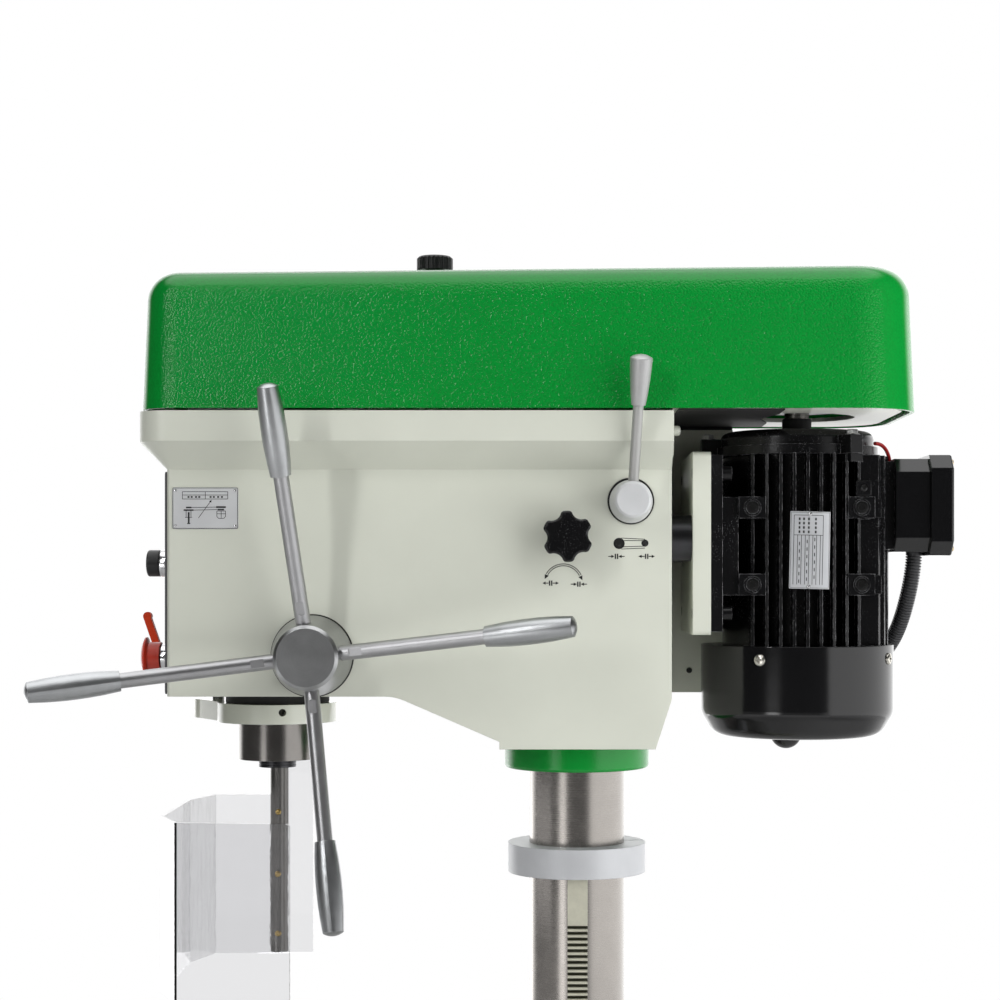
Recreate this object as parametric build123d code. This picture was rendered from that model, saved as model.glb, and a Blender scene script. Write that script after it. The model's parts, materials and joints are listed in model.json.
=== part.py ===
"""Floor-standing pillar drill, in millimetres, +Z up, origin on the floor under the column axis.

-X is the operator's side with the spindle, +X the motor, -Y the side with the feed handles.
"""

import os
from math import acos, asin, cos, hypot, pi, radians, sin, tan

from build123d import *

# Fits and clearances
seat_gap = 0.02
running_gap = 0.05
clear_gap = 0.4
face_gap = 0.5

# Column, its foot and the base
column_radius = 46.0
column_wall = 9.0
column_in_head = 154.0
base_length = 600.0
base_width = 430.0
base_height = 80.0
base_front = 430.0
base_corner = 40.0
base_deck = 22.0
base_rim = 18.0
base_rib = 14.0
base_pockets = (4, 3)
floor_hole_radius = 8.0
floor_hole_inset = 34.0
floor_boss_radius = 22.0
base_slot_width = 18.0
base_slot_depth = 14.0
base_slot_spacing = 180.0
foot_height = 140.0
foot_wall = 17.0
foot_flange_radius = 105.0
base_slot_gap = 25.0
foot_flange_height = 24.0
foot_bolt_circle = 85.0
foot_bolt_radius = 8.0
foot_bolt_across = 24.0
foot_bolt_head = 10.0
foot_bolt_count = 4

# Head casting
head_bottom = 1248.0
head_height = 312.0
head_half_width = 92.0
head_front = 382.0
head_back = 87.0
head_corner = 4.0
head_inner_corner = 3.0
belly_front = 73.0
belly_back = 72.0
belly_step = 7.0
belly_back_rise = 46.0
nose_rise = 49.0
nose_back = 170.0
nose_blend = 45.0
slope_rise = 260.0
band_rise = 284.0
band_half_width = 127.0
band_front = 405.0
band_corner = 30.0
head_wall = 9.0
head_floor = 12.0
column_boss_wall = 15.0
barrel_wall = 13.0
collar_radius = 70.0
collar_height = 24.0
ring_radius = 66.5
ring_height = 28.0
ring_drop = 97.0
ring_groove = 14.0
ring_slit = 2.5
ring_slit_turn = 10.0

# Quill and spindle
throat = 291.0
quill_radius = 37.5
quill_drop = 65.0
quill_length = 250.0
quill_bore = 20.5
quill_travel = 120.0
quill_collar_radius = 58.0
quill_collar_height = 18.5
quill_collar_gap = 10.0
quill_hole_radius = 3.5
quill_hole_turn = 12.0
quill_hole_lift = 2.0
bumper_radius = 50.0
rod_ahead = 67.0
rod_aside = 58.0
rod_radius = 6.0
rod_lug_radius = 24.0
rod_length = 182.0
nut_across = 18.0
nut_height = 10.0
lower_bearing_radius = 29.0
lower_bearing_height = 18.0
upper_bearing_radius = 23.5
upper_bearing_height = 15.0
bearing_shoulder = 6.0
spindle_nose_drop = 8.0
spindle_nose_radius = 15.5
spindle_nut_radius = 18.0
spindle_body_radius = 17.5
spindle_relief = 2.5
spindle_body_over = 15.0
spindle_neck_radius = 12.5
spindle_drive_radius = 12.0
spindle_drive_length = 175.0
taper_mouth_radius = 11.9
taper_length = 81.0
drift_overlap = 8.0
taper_ratio = 19.922
tang_length = 14.0

# Feed gear and its handle
pressure_angle = radians(20)
tooth_slack = 0.35
feed_module = 2.0
feed_teeth = 14
feed_face = 26.0
feed_rise = 38.0
feed_rack_depth = 30.5
feed_journal_radius = 19.0
feed_tail_radius = 12.0
feed_neck_radius = 9.0
feed_neck_half = 30.0
feed_boss_radius = 27.0
feed_stub_radius = 14.0
feed_stub_length = 33.0
hub_gap = 3.0
hub_depth = 52.0
hub_base_radius = 37.5
hub_front_radius = 28.0
hub_edge = 3.0
arm_count = 4
arm_turn = 6.9
arm_tilt = 14.0
arm_out = 28.0
arm_radius = 7.0
arm_flat_across = 12.0
arm_flat_length = 12.0
arm_reach = 246.0
grip_length = 84.0
grip_end_radius = 9.4
grip_belly_radius = 11.6
grip_socket = 40.0
spring_cup_radius = 38.0
spring_cup_depth = 30.0
spring_cup_wall = 4.0
spring_strip = 1.2
spring_turns = 6
spring_width = 18.0

# Belt drive
pulley_steps = (46.0, 56.0, 66.0, 76.0, 86.0)
pulley_pitch = 20.0
pulley_lift = 9.0
groove_top = 13.5
groove_root = 7.0
groove_depth = 11.0
belt_step = 1
belt_top = 13.0
belt_bottom = 8.4
belt_thickness = 8.0
belt_inset = 0.4
sleeve_radius = 17.5
sleeve_below = 65.0
sleeve_above = 12.0
sleeve_bearing_radius = 31.0
sleeve_bearing_height = 14.0
sleeve_bearing_span = 44.0
barrel_lip = 6.0

# Belt cover
cover_gap = 2.0
cover_front = 403.0
cover_back = 315.8
cover_half_width = 128.0
cover_height = 127.2
cover_rise = 7.4
cover_draft = 2.5
cover_front_corner = 36.0
cover_back_corner = 62.0
cover_top_edge = 27.5
cover_wall = 4.0
cover_knob_ahead = 138.0
cover_knob_radius = 17.5
cover_knob_height = 13.5
cover_knob_neck = 9.0
cover_knob_lift = 13.5
cover_knob_stem = 5.0
cover_knob_retainer = 6.0
cover_knob_flutes = 24
cover_knob_flute_radius = 1.1
hinge_offset = 10.0
hinge_radius = 8.0
hinge_pin_radius = 4.0
hinge_length = 60.0
hinge_knuckle = 22.0
hinge_places = (-270.0, 30.0)
tray_thickness = 4.0
tray_lift = 1.0
tray_margin = 12.0
tray_hole_radius = 56.0
tray_slot_half_width = 45.0
tray_front_strip = 10.0
tray_flange_height = 40.0
tray_flange_half_width = 60.0

# Motor slide and tension lever
plate_gap = 20.0
plate_thickness = 17.0
plate_corner = 5.0
plate_half_width = 85.0
plate_bottom = 106.0
plate_height = 171.0
bar_radius = 22.0
bar_aside = 58.0
bar_rise = 197.0
bar_inside = 200.0
bar_boss_wall = 7.0
motor_travel = 12.0
tension_module = 1.5
tension_teeth = 18
tension_back = 49.0
tension_face = 16.0
tension_rack_depth = 19.5
tension_journal_radius = 16.5
tension_neck_radius = 10.0
tension_neck_half = 17.0
tension_base_radius = 20.0
tension_front_radius = 15.5
tension_depth = 50.0
tension_rod_radius = 4.8
tension_rod_out = 32.0
tension_tilt = 14.0
tension_lean = 3.1
tension_reach = 134.0
tension_grip_length = 46.0
tension_grip_root = 6.5
tension_grip_tip = 10.2
lock_ahead = 10.0
lock_radius = 23.3
lock_waist_radius = 9.0
lock_waist_circle = 27.5
lock_tip_fillet = 3.4
lock_turn = 2.7
lock_lobes = 6
lock_depth = 20.0
lock_neck_radius = 11.0
lock_neck = 20.0
lock_stem_radius = 6.0
lock_chamfer = 1.5

# Motor
shaft_height = 90.0
motor_bottom = 95.0
motor_length = 181.0
motor_core_radius = 72.0
motor_bore_radius = 65.0
fin_radius = 88.0
fin_pitch = 12.5
fin_thickness = 2.8
fin_rows = 4
foot_thickness = 11.0
foot_margin = 3.0
foot_half_width = 83.0
foot_leg = 14.0
lug_aside = 51.0
lug_size = 25.0
lug_height = 20.0
lug_spacing = 72.0
lug_rise = 3.5
motor_bolt_aside = 75.0
motor_bolt_spacing = 131.0
motor_bolt_radius = 5.0
motor_bolt_head_radius = 6.5
motor_bolt_head = 9.0
endshield_height = 24.0
endshield_radius = 74.0
endshield_rim_radius = 78.0
endshield_rim = 9.0
endshield_ear_width = 14.0
endshield_ear_reach = 93.0
endshield_ear_drop = 6.5
endshield_ear_root = 8.0
endshield_ear_turns = (-60, 60)
housing_ear = 8.0
tail_shield_height = 25.0
tail_shield_radius = 91.0
shaft_radius = 12.0
rotor_radius = 42.0
rotor_length = 110.0
stator_bore = 42.8
winding_overhang = 20.0
winding_thickness = 14.0
fan_cover_wall = 2.0
fan_cover_height = 66.0
fan_cover_nose = 22.0
fan_cover_nose_radius = 80.0
fan_cover_bend = 18.0
fan_slot_count = 12
fan_slot_width = 5.0
fan_nub_radius = 15.5
fan_nub_height = 13.5
fan_nub_offset = 10.5
fan_radius = 76.0
fan_disc = 3.0
fan_blade_gap = 8.0
fan_blade_height = 30.0
fan_blade_thickness = 3.0
fan_blades = 8
box_offset = 89.0
pad_half_width = 36.0
pad_margin = 6.0
box_depth = 33.0
box_half_width = 50.0
box_bottom = 180.7
box_height = 96.0
box_corner = 13.0
box_wall = 3.0
lid_margin = 3.5
lid_thickness = 22.0

# Conduit from the terminal box to the electrical box
conduit_radius = 7.9
conduit_valley = 6.9
conduit_bore = 5.9
conduit_rib_pitch = 2.6
conduit_collar = 16.0
conduit_inset = 25.1
conduit_drop = 24.0
conduit_bends = ((101.0, 25.0, 4.0), (83.0, 67.0, -21.0), (40.0, 114.0, -31.0))
conduit_rise = 25.0
conduit_inside = 16.0
conduit_run = 40.0

# Electrical box, front controls and guard
ebox_front = 20.0
ebox_back = 166.0
ebox_depth = 80.0
ebox_gap = 8.0
ebox_height = 209.0
ebox_wall = 2.5
ebox_corner = 6.0
duct_gap = 4.0
duct_depth = 40.0
panel_thickness = 2.0
panel_half_width = 89.0
panel_margin = 2.0
controls_aside = 55.0
selector_rise = 173.0
selector_radius = 12.5
selector_collar = 10.0
selector_depth = 11.7
stop_rise = 84.5
stop_radius = 18.7
stop_body_radius = 14.0
stop_body = 11.5
stop_head = 5.3
stop_standoff = 9.5
stop_skirt_bore = 12.8
stop_skirt_depth = 6.0
stem_radius = 7.0
stem_inside = 20.0
paddle_aside = 4.0
paddle_width = 7.0
paddle_thickness = 7.0
paddle_tip_radius = 4.1
paddle_length = 59.0
paddle_tilt = 19.0
paddle_rise = 70.0
paddle_out = 16.7
paddle_pin_radius = 3.0
paddle_ear = 4.0
paddle_ear_margin = 1.5
post_ahead = 12.0
post_aside = 104.0
post_radius = 9.2
post_bottom = 222.0
guard_bottom = 225.5
guard_height = 162.5
guard_half_width = 113.0
guard_front_far = 60.0
guard_front_near = 84.0
guard_rear = 269.5
guard_bend = 371.0
guard_face = 389.0
guard_near_bend = 367.0
guard_near_bend_aside = 134.0
guard_near_rear = 261.0
guard_near_rear_aside = 146.0
guard_sheet = 3.0
guard_tab_height = 62.0
guard_tab_ahead = 295.0
guard_corner = 4.0
switch_front = 345.0
switch_back = 290.0
switch_depth = 42.0
switch_bottom = 52.0
switch_height = 100.0
switch_corner = 5.0

# Rack, table bracket, crank and table
rack_module = 1.75
rack_width = 19.0
rack_thickness = 12.0
rack_plain = 43.0
table_top = 770.0
table_length = 420.0
table_width = 420.0
table_thickness = 34.0
table_corner = 16.0
slot_width = 14.0
slot_depth = 12.0
slot_spread = 24.0
slot_foot = 9.0
slot_spacing = 130.0
slot_count = 3
pivot_drop = 100.0
pivot_radius = 48.0
trunnion_radius = 20.0
trunnion_length = 62.0
arm_end = 170.0
table_boss_length = 150.0
sleeve_wall = 29.0
bracket_height = 160.0
bracket_case_corner = 10.0
gearbox_front = 38.0
gearbox_back = 45.0
gearbox_out = 96.0
gearbox_height = 74.0
lift_teeth = 14
lift_face = 22.0
lift_shaft_radius = 8.0
crank_gap = 6.0
crank_hub_gap = 12.0
crank_arm_length = 140.0
crank_arm_width = 22.0
crank_arm_thickness = 12.0
crank_hub_radius = 16.0
crank_handle_radius = 11.0
crank_handle_length = 78.0
clamp_lug = 30.0
clamp_lug_half = 24.0
clamp_slit = 4.0
clamp_bolt_radius = 8.0
clamp_lever_length = 90.0
clamp_lever_radius = 6.0
clamp_hub_radius = 14.0
clamp_hub_length = 26.0
clamp_ball_radius = 12.0

# Levels and places worked out from the values above
head_top = head_bottom + head_height
nose_bottom = head_bottom + nose_rise
slope_bottom = head_bottom + slope_rise
band_bottom = head_bottom + band_rise
column_top = head_bottom + column_in_head
collar_bottom = head_bottom - collar_height
ring_top = head_bottom - ring_drop
ring_bottom = ring_top - ring_height
spindle_x = -throat
quill_bottom = nose_bottom - quill_drop
quill_top = quill_bottom + quill_length
barrel_radius = quill_radius + barrel_wall
quill_bore_end = quill_top + clear_gap * 10
bearing_floor = quill_bore_end + barrel_lip
barrel_top = bearing_floor + sleeve_bearing_span + face_gap
feed_x = spindle_x + feed_rack_depth + feed_module * feed_teeth / 2
feed_z = nose_bottom + feed_rise
hub_base_y = -head_half_width - hub_gap
collar_top = nose_bottom - quill_collar_gap
rod_x = spindle_x - rod_ahead
cover_rim = head_top + cover_gap
cover_top = cover_rim + cover_height
hinge_y = cover_half_width + hinge_offset
hinge_z = cover_rim
pulley_base = head_top + pulley_lift
pulley_height = pulley_pitch * len(pulley_steps)
pulley_top = pulley_base + pulley_height
belt_z = pulley_base + pulley_pitch * (belt_step + 0.5)
plate_x = head_back + plate_gap
motor_x = plate_x + plate_thickness + shaft_height
motor_low = head_bottom + motor_bottom
motor_high = motor_low + motor_length
endshield_top = motor_high + endshield_height
tail_low = motor_low - tail_shield_height
plate_low = head_bottom + plate_bottom
plate_high = plate_low + plate_height
bar_z = head_bottom + bar_rise
tension_z = bar_z + tension_rack_depth + tension_module * tension_teeth / 2
fan_cover_inner = tail_shield_radius + seat_gap
fan_cover_radius = fan_cover_inner + fan_cover_wall
fan_cover_low = motor_low - fan_cover_height
fan_cover_bottom = fan_cover_low - fan_cover_nose
motor_mid = (motor_low + motor_high) / 2
lug_mid = motor_mid + lug_rise
box_x = motor_x + box_offset
lid_x = box_x + box_depth
box_low = head_bottom + box_bottom
ebox_low = slope_bottom - ebox_gap - ebox_height
panel_x = -head_front - panel_thickness
post_x = spindle_x - post_ahead
post_low = head_bottom - post_bottom
conduit_start = (box_x + conduit_inset, 0.0)
conduit_end = (head_half_width + ebox_depth / 2, ebox_low + conduit_rise)
guard_low = head_bottom - guard_bottom
switch_low = head_bottom + switch_bottom
foot_top = base_height + foot_height
rack_back = column_radius + clear_gap
rack_face = rack_back + rack_thickness
rack_pitch_line = rack_face - 0.8 * rack_module
rack_low = foot_top + face_gap
rack_high = ring_bottom + ring_groove - face_gap
lift_y = -(rack_pitch_line + rack_module * lift_teeth / 2)
pivot_z = table_top - pivot_drop
sleeve_outer = column_radius + sleeve_wall
clamp_y = sleeve_outer + clamp_lug / 2


# Shape helpers
def block(x_low, x_high, y_low, y_high, z_low, z_high):
    """Box between two corners."""
    middle = ((x_low + x_high) / 2, (y_low + y_high) / 2, (z_low + z_high) / 2)
    return Pos(*middle) * Box(x_high - x_low, y_high - y_low, z_high - z_low)


def rod_along_z(radius, z_low, z_high, x=0.0, y=0.0):
    """Upright cylinder."""
    return Pos(x, y, (z_low + z_high) / 2) * Cylinder(radius, z_high - z_low)


def rod_along_y(radius, y_low, y_high, x, z):
    """Cylinder across the machine."""
    return Pos(x, (y_low + y_high) / 2, z) * Rot(90, 0, 0) * Cylinder(radius, y_high - y_low)


def rod_along_x(radius, x_low, x_high, y, z):
    """Cylinder from front to back."""
    return Pos((x_low + x_high) / 2, y, z) * Rot(0, 90, 0) * Cylinder(radius, x_high - x_low)


def prism(corners, travel):
    """Solid made by moving the flat outline through corners along the vector travel."""
    face = make_face(Polyline(*corners, close=True))
    return extrude(face, amount=Vector(*travel).length, dir=travel)


def turned(points):
    """Solid of revolution about Z through (radius, height) points."""
    face = make_face(Polyline(*[(radius, 0, height) for radius, height in points], close=True))
    return revolve(face, Axis.Z)


def facing_front(x, y, z):
    """Place a shape made along +Z so that it points to -X."""
    return Pos(x, y, z) * Rot(0, -90, 0)


def facing_side(x, y, z):
    """Place a shape made along +Z so that it points to -Y."""
    return Pos(x, y, z) * Rot(90, 0, 0)


def along(origin, direction):
    """Place a shape made along +Z on a line through origin."""
    return Plane(origin=origin, z_dir=direction).location


def hexagon_bolt(shank_radius, shank_length, across, head_height):
    """Bolt with its head seat at z 0 and its shank down -Z."""
    head = extrude(RegularPolygon(across / 2, 6, major_radius=False), amount=head_height)
    return head + rod_along_z(shank_radius, -shank_length, 0)


def ring(outer, inner, z_low, z_high, x=0.0, y=0.0):
    """Upright tube."""
    return rod_along_z(outer, z_low, z_high, x, y) - rod_along_z(inner, z_low, z_high, x, y)


def rounded_plan(x_low, x_high, half_width, front_corner, back_corner):
    """Plan outline about the X axis with its own front and back corner radii."""
    outline = Pos((x_low + x_high) / 2, 0) * Rectangle(x_high - x_low, 2 * half_width)
    middle = (x_low + x_high) / 2
    front = outline.vertices().filter_by_position(Axis.X, x_low - 1, middle)
    outline = fillet(front, front_corner)
    if back_corner > 0:
        back = outline.vertices().filter_by_position(Axis.X, x_high - 0.5, x_high + 0.5)
        outline = fillet(back, back_corner)
    return outline


# Gear teeth
def involute(angle):
    """Involute function."""
    return tan(angle) - angle


def toothed_wheel(module, teeth, width):
    """Spur wheel about Z with a tooth on the X axis, its middle plane at z 0."""
    pitch = module * teeth / 2
    base = pitch * cos(pressure_angle)
    half_at_pitch = (pi * module / 2 - tooth_slack) / (2 * pitch)
    radii = [pitch - 1.25 * module, pitch - 0.4 * module, pitch, pitch + 0.5 * module, pitch + module]
    corners = []
    for tooth in range(teeth):
        middle = 2 * pi * tooth / teeth
        for side in (-1, 1):
            for radius in radii[::-side]:
                local = acos(min(1.0, base / radius))
                turn = middle + side * (half_at_pitch + involute(pressure_angle) - involute(local))
                corners.append((radius * cos(turn), radius * sin(turn), -width / 2))
    return prism(corners, (0, 0, width))


def toothed_edge(module, pitch_line, centres):
    """Points (depth, place) of a rack's edge with a gap at each centre."""
    tip = pitch_line + 0.8 * module
    root = pitch_line - 1.25 * module
    points = []
    for centre in centres:
        for depth, side in ((tip, -1), (root, -1), (root, 1), (tip, 1)):
            half = pi * module / 4 + (depth - pitch_line) * tan(pressure_angle)
            points.append((depth, centre + side * half))
    return points


def gap_centres(module, meshed, low, high):
    """Centres of the rack gaps between low and high, one of them at meshed."""
    pitch = pi * module
    first = int((low - meshed) / pitch)
    last = int((high - meshed) / pitch)
    return [meshed + pitch * step for step in range(first, last + 1)]


# Base, foot and column
def floor_hole_places():
    """Plan positions of the floor bolts."""
    x_front = -base_front + floor_hole_inset
    x_back = base_length - base_front - floor_hole_inset
    y_side = base_width / 2 - floor_hole_inset
    return [(x, y) for x in (x_front, x_back) for y in (-y_side, y_side)]


def foot_bolt_places():
    """Plan positions of the bolts that hold the column foot."""
    turns = [2 * pi * (step + 0.5) / foot_bolt_count for step in range(foot_bolt_count)]
    return [(foot_bolt_circle * cos(turn), foot_bolt_circle * sin(turn)) for turn in turns]


def base_plate():
    """Ribbed cast base with a slotted working face and floor bolt holes."""
    centre_x = base_length / 2 - base_front
    plan = Pos(centre_x, 0) * RectangleRounded(base_length, base_width, base_corner)
    body = extrude(plan, amount=base_height)
    columns, rows = base_pockets
    span_x = (base_length - 2 * base_rim + base_rib) / columns
    span_y = (base_width - 2 * base_rim + base_rib) / rows
    for column_index in range(columns):
        for row in range(rows):
            x = -base_front + base_rim + span_x * column_index
            y = -base_width / 2 + base_rim + span_y * row
            pocket = block(x, x + span_x - base_rib, y, y + span_y - base_rib, 0, base_height - base_deck)
            for hole_x, hole_y in floor_hole_places():
                pocket -= rod_along_z(floor_boss_radius, 0, base_height, hole_x, hole_y)
            pocket -= rod_along_z(column_radius, 0, base_height)
            body -= pocket
    for x, y in floor_hole_places():
        body -= rod_along_z(floor_hole_radius, 0, base_height, x, y)
    for x, y in foot_bolt_places():
        body -= rod_along_z(foot_bolt_radius + running_gap, 0, base_height, x, y)
    slot_back = -foot_flange_radius - base_slot_gap
    for side in (-1, 1):
        y = side * base_slot_spacing / 2
        half = base_slot_width / 2
        top = base_height
        body -= block(-base_front, slot_back, y - half, y + half, top - base_slot_depth, top)
    return body


def column_foot():
    """Flanged socket that carries the column."""
    outer = column_radius + foot_wall
    flange_top = base_height + foot_flange_height
    body = rod_along_z(foot_flange_radius, base_height, flange_top)
    body += rod_along_z(outer, flange_top, foot_top)
    rings = body.edges().filter_by(GeomType.CIRCLE)
    inner_corner = rings.filter_by(lambda edge: abs(edge.radius - outer) < 0.01).sort_by(Axis.Z)[0]
    body = fillet(inner_corner, foot_bolt_across / 4)
    body -= rod_along_z(column_radius + seat_gap, base_height, foot_top)
    for x, y in foot_bolt_places():
        body -= rod_along_z(foot_bolt_radius + running_gap, base_height, flange_top, x, y)
    return body


def foot_bolts():
    """Hexagon bolts through the foot's flange into the base."""
    seat = base_height + foot_flange_height
    bolt = hexagon_bolt(foot_bolt_radius, foot_flange_height + base_deck, foot_bolt_across, foot_bolt_head)
    return [Pos(x, y, seat) * bolt for x, y in foot_bolt_places()]


def column():
    """Ground steel tube."""
    return ring(column_radius, column_radius - column_wall, base_height, column_top)


# Head
def head_side(inset, floor, top):
    """Outline of the head's lower body seen from the side, moved in by a wall and a floor."""
    front = -head_front + inset
    back = head_back - inset
    return [
        (front, nose_bottom + floor),
        (-nose_back + inset / 2, nose_bottom + floor),
        (-belly_front + inset / 2, head_bottom + belly_step + floor),
        (-belly_front + inset / 2, head_bottom + floor),
        (belly_back - inset, head_bottom + floor),
        (back, head_bottom + belly_back_rise + floor),
        (back, top),
        (front, top),
    ]


def head_shell(inset, floor):
    """Lower body, slope and upper band of the head, moved in by a wall and a floor."""
    half = head_half_width - inset
    band_half = band_half_width - inset
    corners = [(x, -half, z) for x, z in head_side(inset, floor, slope_bottom + inset)]
    body = prism(corners, (0, 2 * half, 0))
    knee = body.edges().filter_by(Axis.Y).sort_by_distance((-nose_back, 0, nose_bottom + floor))[0]
    body = fillet(knee, nose_blend)
    uprights = body.edges().filter_by(Axis.Z).group_by(Axis.X)[0]
    corner = head_inner_corner if inset else head_corner
    body = fillet(uprights, corner)
    back = head_back - inset
    low_plan = rounded_plan(-head_front + inset, back, half, corner, 0)
    high_plan = rounded_plan(-band_front + inset, back, band_half, band_corner - inset / 2, 0)
    slope = loft([Pos(0, 0, slope_bottom + inset) * low_plan, Pos(0, 0, band_bottom + inset) * high_plan])
    band = extrude(Pos(0, 0, band_bottom + inset) * high_plan, amount=head_top - band_bottom - inset)
    return body + slope + band


def hinge_knuckle_places():
    """Low and high X of the cover's knuckle at each hinge."""
    return [(x - hinge_knuckle / 2, x + hinge_knuckle / 2) for x in hinge_places]


def head_hinge_ears():
    """Two ears at each hinge, beside the cover's knuckle."""
    ears = []
    for middle in hinge_places:
        for side in (-1, 1):
            inner = middle + side * (hinge_knuckle / 2 + clear_gap)
            outer = middle + side * hinge_length / 2
            low, high = min(inner, outer), max(inner, outer)
            web = block(low, high, band_half_width - 1, hinge_y, hinge_z - 2 * hinge_radius, hinge_z)
            ears.append(web + rod_along_x(hinge_radius, low, high, hinge_y, hinge_z))
    return ears


def head_casting():
    """Hollow head with the column boss, quill barrel, slide bosses and hinge ears."""
    body = head_shell(0, 0) - head_shell(head_wall, head_floor)
    inside_floor = head_bottom + head_floor / 2
    body += rod_along_z(column_radius + column_boss_wall, inside_floor, column_top)
    body += rod_along_z(barrel_radius, nose_bottom + head_floor / 2, barrel_top, spindle_x)
    feed_half = head_half_width - head_wall / 2
    body += rod_along_y(feed_boss_radius, -feed_half, feed_half, feed_x, feed_z)
    bar_front = head_back - bar_inside
    for side in (-1, 1):
        boss_end = head_back - head_wall / 2
        body += rod_along_x(bar_radius + bar_boss_wall, bar_front, boss_end, side * bar_aside, bar_z)
    for ear in head_hinge_ears():
        body += ear
    # Bores
    body -= rod_along_z(column_radius + seat_gap, head_bottom, column_top)
    body -= rod_along_z(quill_radius + running_gap, nose_bottom, quill_bore_end, spindle_x)
    lip_radius = sleeve_bearing_radius - bearing_shoulder / 2
    body -= rod_along_z(lip_radius, nose_bottom, barrel_top, spindle_x)
    body -= rod_along_z(sleeve_bearing_radius + seat_gap, bearing_floor, barrel_top, spindle_x)
    journal_end = feed_face / 2 + clear_gap
    body -= rod_along_y(feed_journal_radius + running_gap, -head_half_width, journal_end, feed_x, feed_z)
    body -= rod_along_y(feed_tail_radius + running_gap, 0, head_half_width, feed_x, feed_z)
    for side in (-1, 1):
        y = side * bar_aside
        bar_end = bar_front - motor_travel - face_gap
        body -= rod_along_x(bar_radius + running_gap, bar_end, head_back, y, bar_z)
    pinion_end = -bar_aside + tension_face / 2 + clear_gap
    tension_fit = tension_journal_radius + running_gap
    body -= rod_along_y(tension_fit, -head_half_width, pinion_end, tension_back, tension_z)
    body -= rod_along_y(lock_stem_radius + running_gap, -head_half_width, -bar_aside, -lock_ahead, bar_z)
    body -= rod_along_z(rod_radius + clear_gap, nose_bottom, nose_bottom + head_floor, rod_x, rod_aside)
    for rise in (selector_rise, stop_rise):
        y, z = -controls_aside, head_bottom + rise
        body -= rod_along_x(stem_radius + clear_gap, -head_front, -head_front + head_wall, y, z)
    # Window on the far wall for setting the depth nuts
    window_low = nose_bottom + head_floor + nut_height
    window_high = window_low + quill_travel + 2 * nut_height
    window_front = rod_x - nut_across / 3
    window_back = rod_x + nut_across
    wall_in = head_half_width - head_wall
    body -= block(window_front, window_back, wall_in, head_half_width, window_low, window_high)
    for middle in hinge_places:
        half = hinge_length / 2
        body -= rod_along_x(hinge_pin_radius + seat_gap, middle - half, middle + half, hinge_y, hinge_z)
    return body


def head_collar():
    """Ring clamped on the column under the head."""
    body = ring(collar_radius, column_radius + seat_gap, collar_bottom, head_bottom)
    lower_rim = body.edges().filter_by(GeomType.CIRCLE).group_by(Axis.Z)[0].sort_by(SortBy.RADIUS)[-1]
    return fillet(lower_rim, collar_height / 8)


def rack_ring():
    """Split ring on the column, grooved underneath for the top of the rack."""
    body = ring(ring_radius, column_radius + seat_gap, ring_bottom, ring_top)
    groove_radius = hypot(rack_face, rack_width / 2) + clear_gap
    body -= rod_along_z(groove_radius, ring_bottom, ring_bottom + ring_groove)
    slit = block(0, ring_radius + 1, -ring_slit / 2, ring_slit / 2, ring_bottom, ring_top)
    return body - Rot(0, 0, ring_slit_turn) * slit


def belt_tray():
    """Plate that closes the rear of the belt cover just inside its rim, with a flange on the head."""
    low = cover_rim + tray_lift
    top = low + tray_thickness
    back = cover_back - tray_margin
    plan = rounded_plan(head_back, back, cover_half_width - tray_margin, 2.0, cover_back_corner - tray_margin)
    body = extrude(Pos(0, 0, low) * plan, amount=tray_thickness)
    body -= rod_along_z(tray_hole_radius, low, top, motor_x)
    slot = tray_slot_half_width
    body -= block(head_back + tray_front_strip, motor_x, -slot, slot, low, top)
    half = tray_flange_half_width
    flange_low = low - tray_flange_height
    flange_high = low + tray_thickness / 2
    return body + block(head_back, head_back + tray_thickness, -half, half, flange_low, flange_high)


def front_panel():
    """Plate on the nose that carries the switches."""
    low = nose_bottom + panel_margin
    high = slope_bottom - panel_margin
    half = panel_half_width
    body = block(panel_x, -head_front, -half, half, low, high)
    body = fillet(body.edges().filter_by(Axis.X), 4.0)
    for rise in (selector_rise, stop_rise):
        y, z = -controls_aside, head_bottom + rise
        body -= rod_along_x(stem_radius + clear_gap, panel_x, -head_front, y, z)
    return body + paddle_ears()


def paddle_ears():
    """Two ears on the panel that hold the start paddle's pin."""
    pin_x = panel_x - paddle_out
    pin_z = head_bottom + paddle_rise
    ears = None
    for side in (-1, 1):
        inner = paddle_aside + side * (paddle_width / 2 + clear_gap)
        outer = inner + side * paddle_ear
        low, high = min(inner, outer), max(inner, outer)
        radius = paddle_thickness / 2 + paddle_ear_margin
        ear = block(pin_x, panel_x, low, high, pin_z - radius, pin_z + radius)
        ear += rod_along_y(radius, low, high, pin_x, pin_z)
        ear -= rod_along_y(paddle_pin_radius + running_gap, low, high, pin_x, pin_z)
        ears = ear if ears is None else ears + ear
    return ears


def electrical_box():
    """Hollow switchgear box on the far side of the head, with a duct up behind it."""
    near = head_half_width
    far = near + ebox_depth
    high = ebox_low + ebox_height
    body = block(-ebox_front, ebox_back, near, far, ebox_low, high)
    body = fillet(body.edges().filter_by(Axis.Y), ebox_corner)
    wall = ebox_wall
    duct_front, duct_far = head_back + duct_gap, near + duct_depth
    duct_back = ebox_back - ebox_corner
    duct_top = cover_rim - duct_gap
    body += block(duct_front, duct_back, near, duct_far, high - wall, duct_top)
    front_in, back_in = -ebox_front + wall, ebox_back - wall
    body -= block(front_in, back_in, near + wall, far - wall, ebox_low + wall, high - wall)
    duct_in, duct_out = duct_front + wall, duct_back - wall
    body -= block(duct_in, duct_out, near + wall, duct_far - wall, high - 2 * wall, duct_top - wall)
    end_y, end_z = conduit_end
    return body - rod_along_x(conduit_radius + clear_gap, ebox_back - wall, ebox_back, end_y, end_z)


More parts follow.
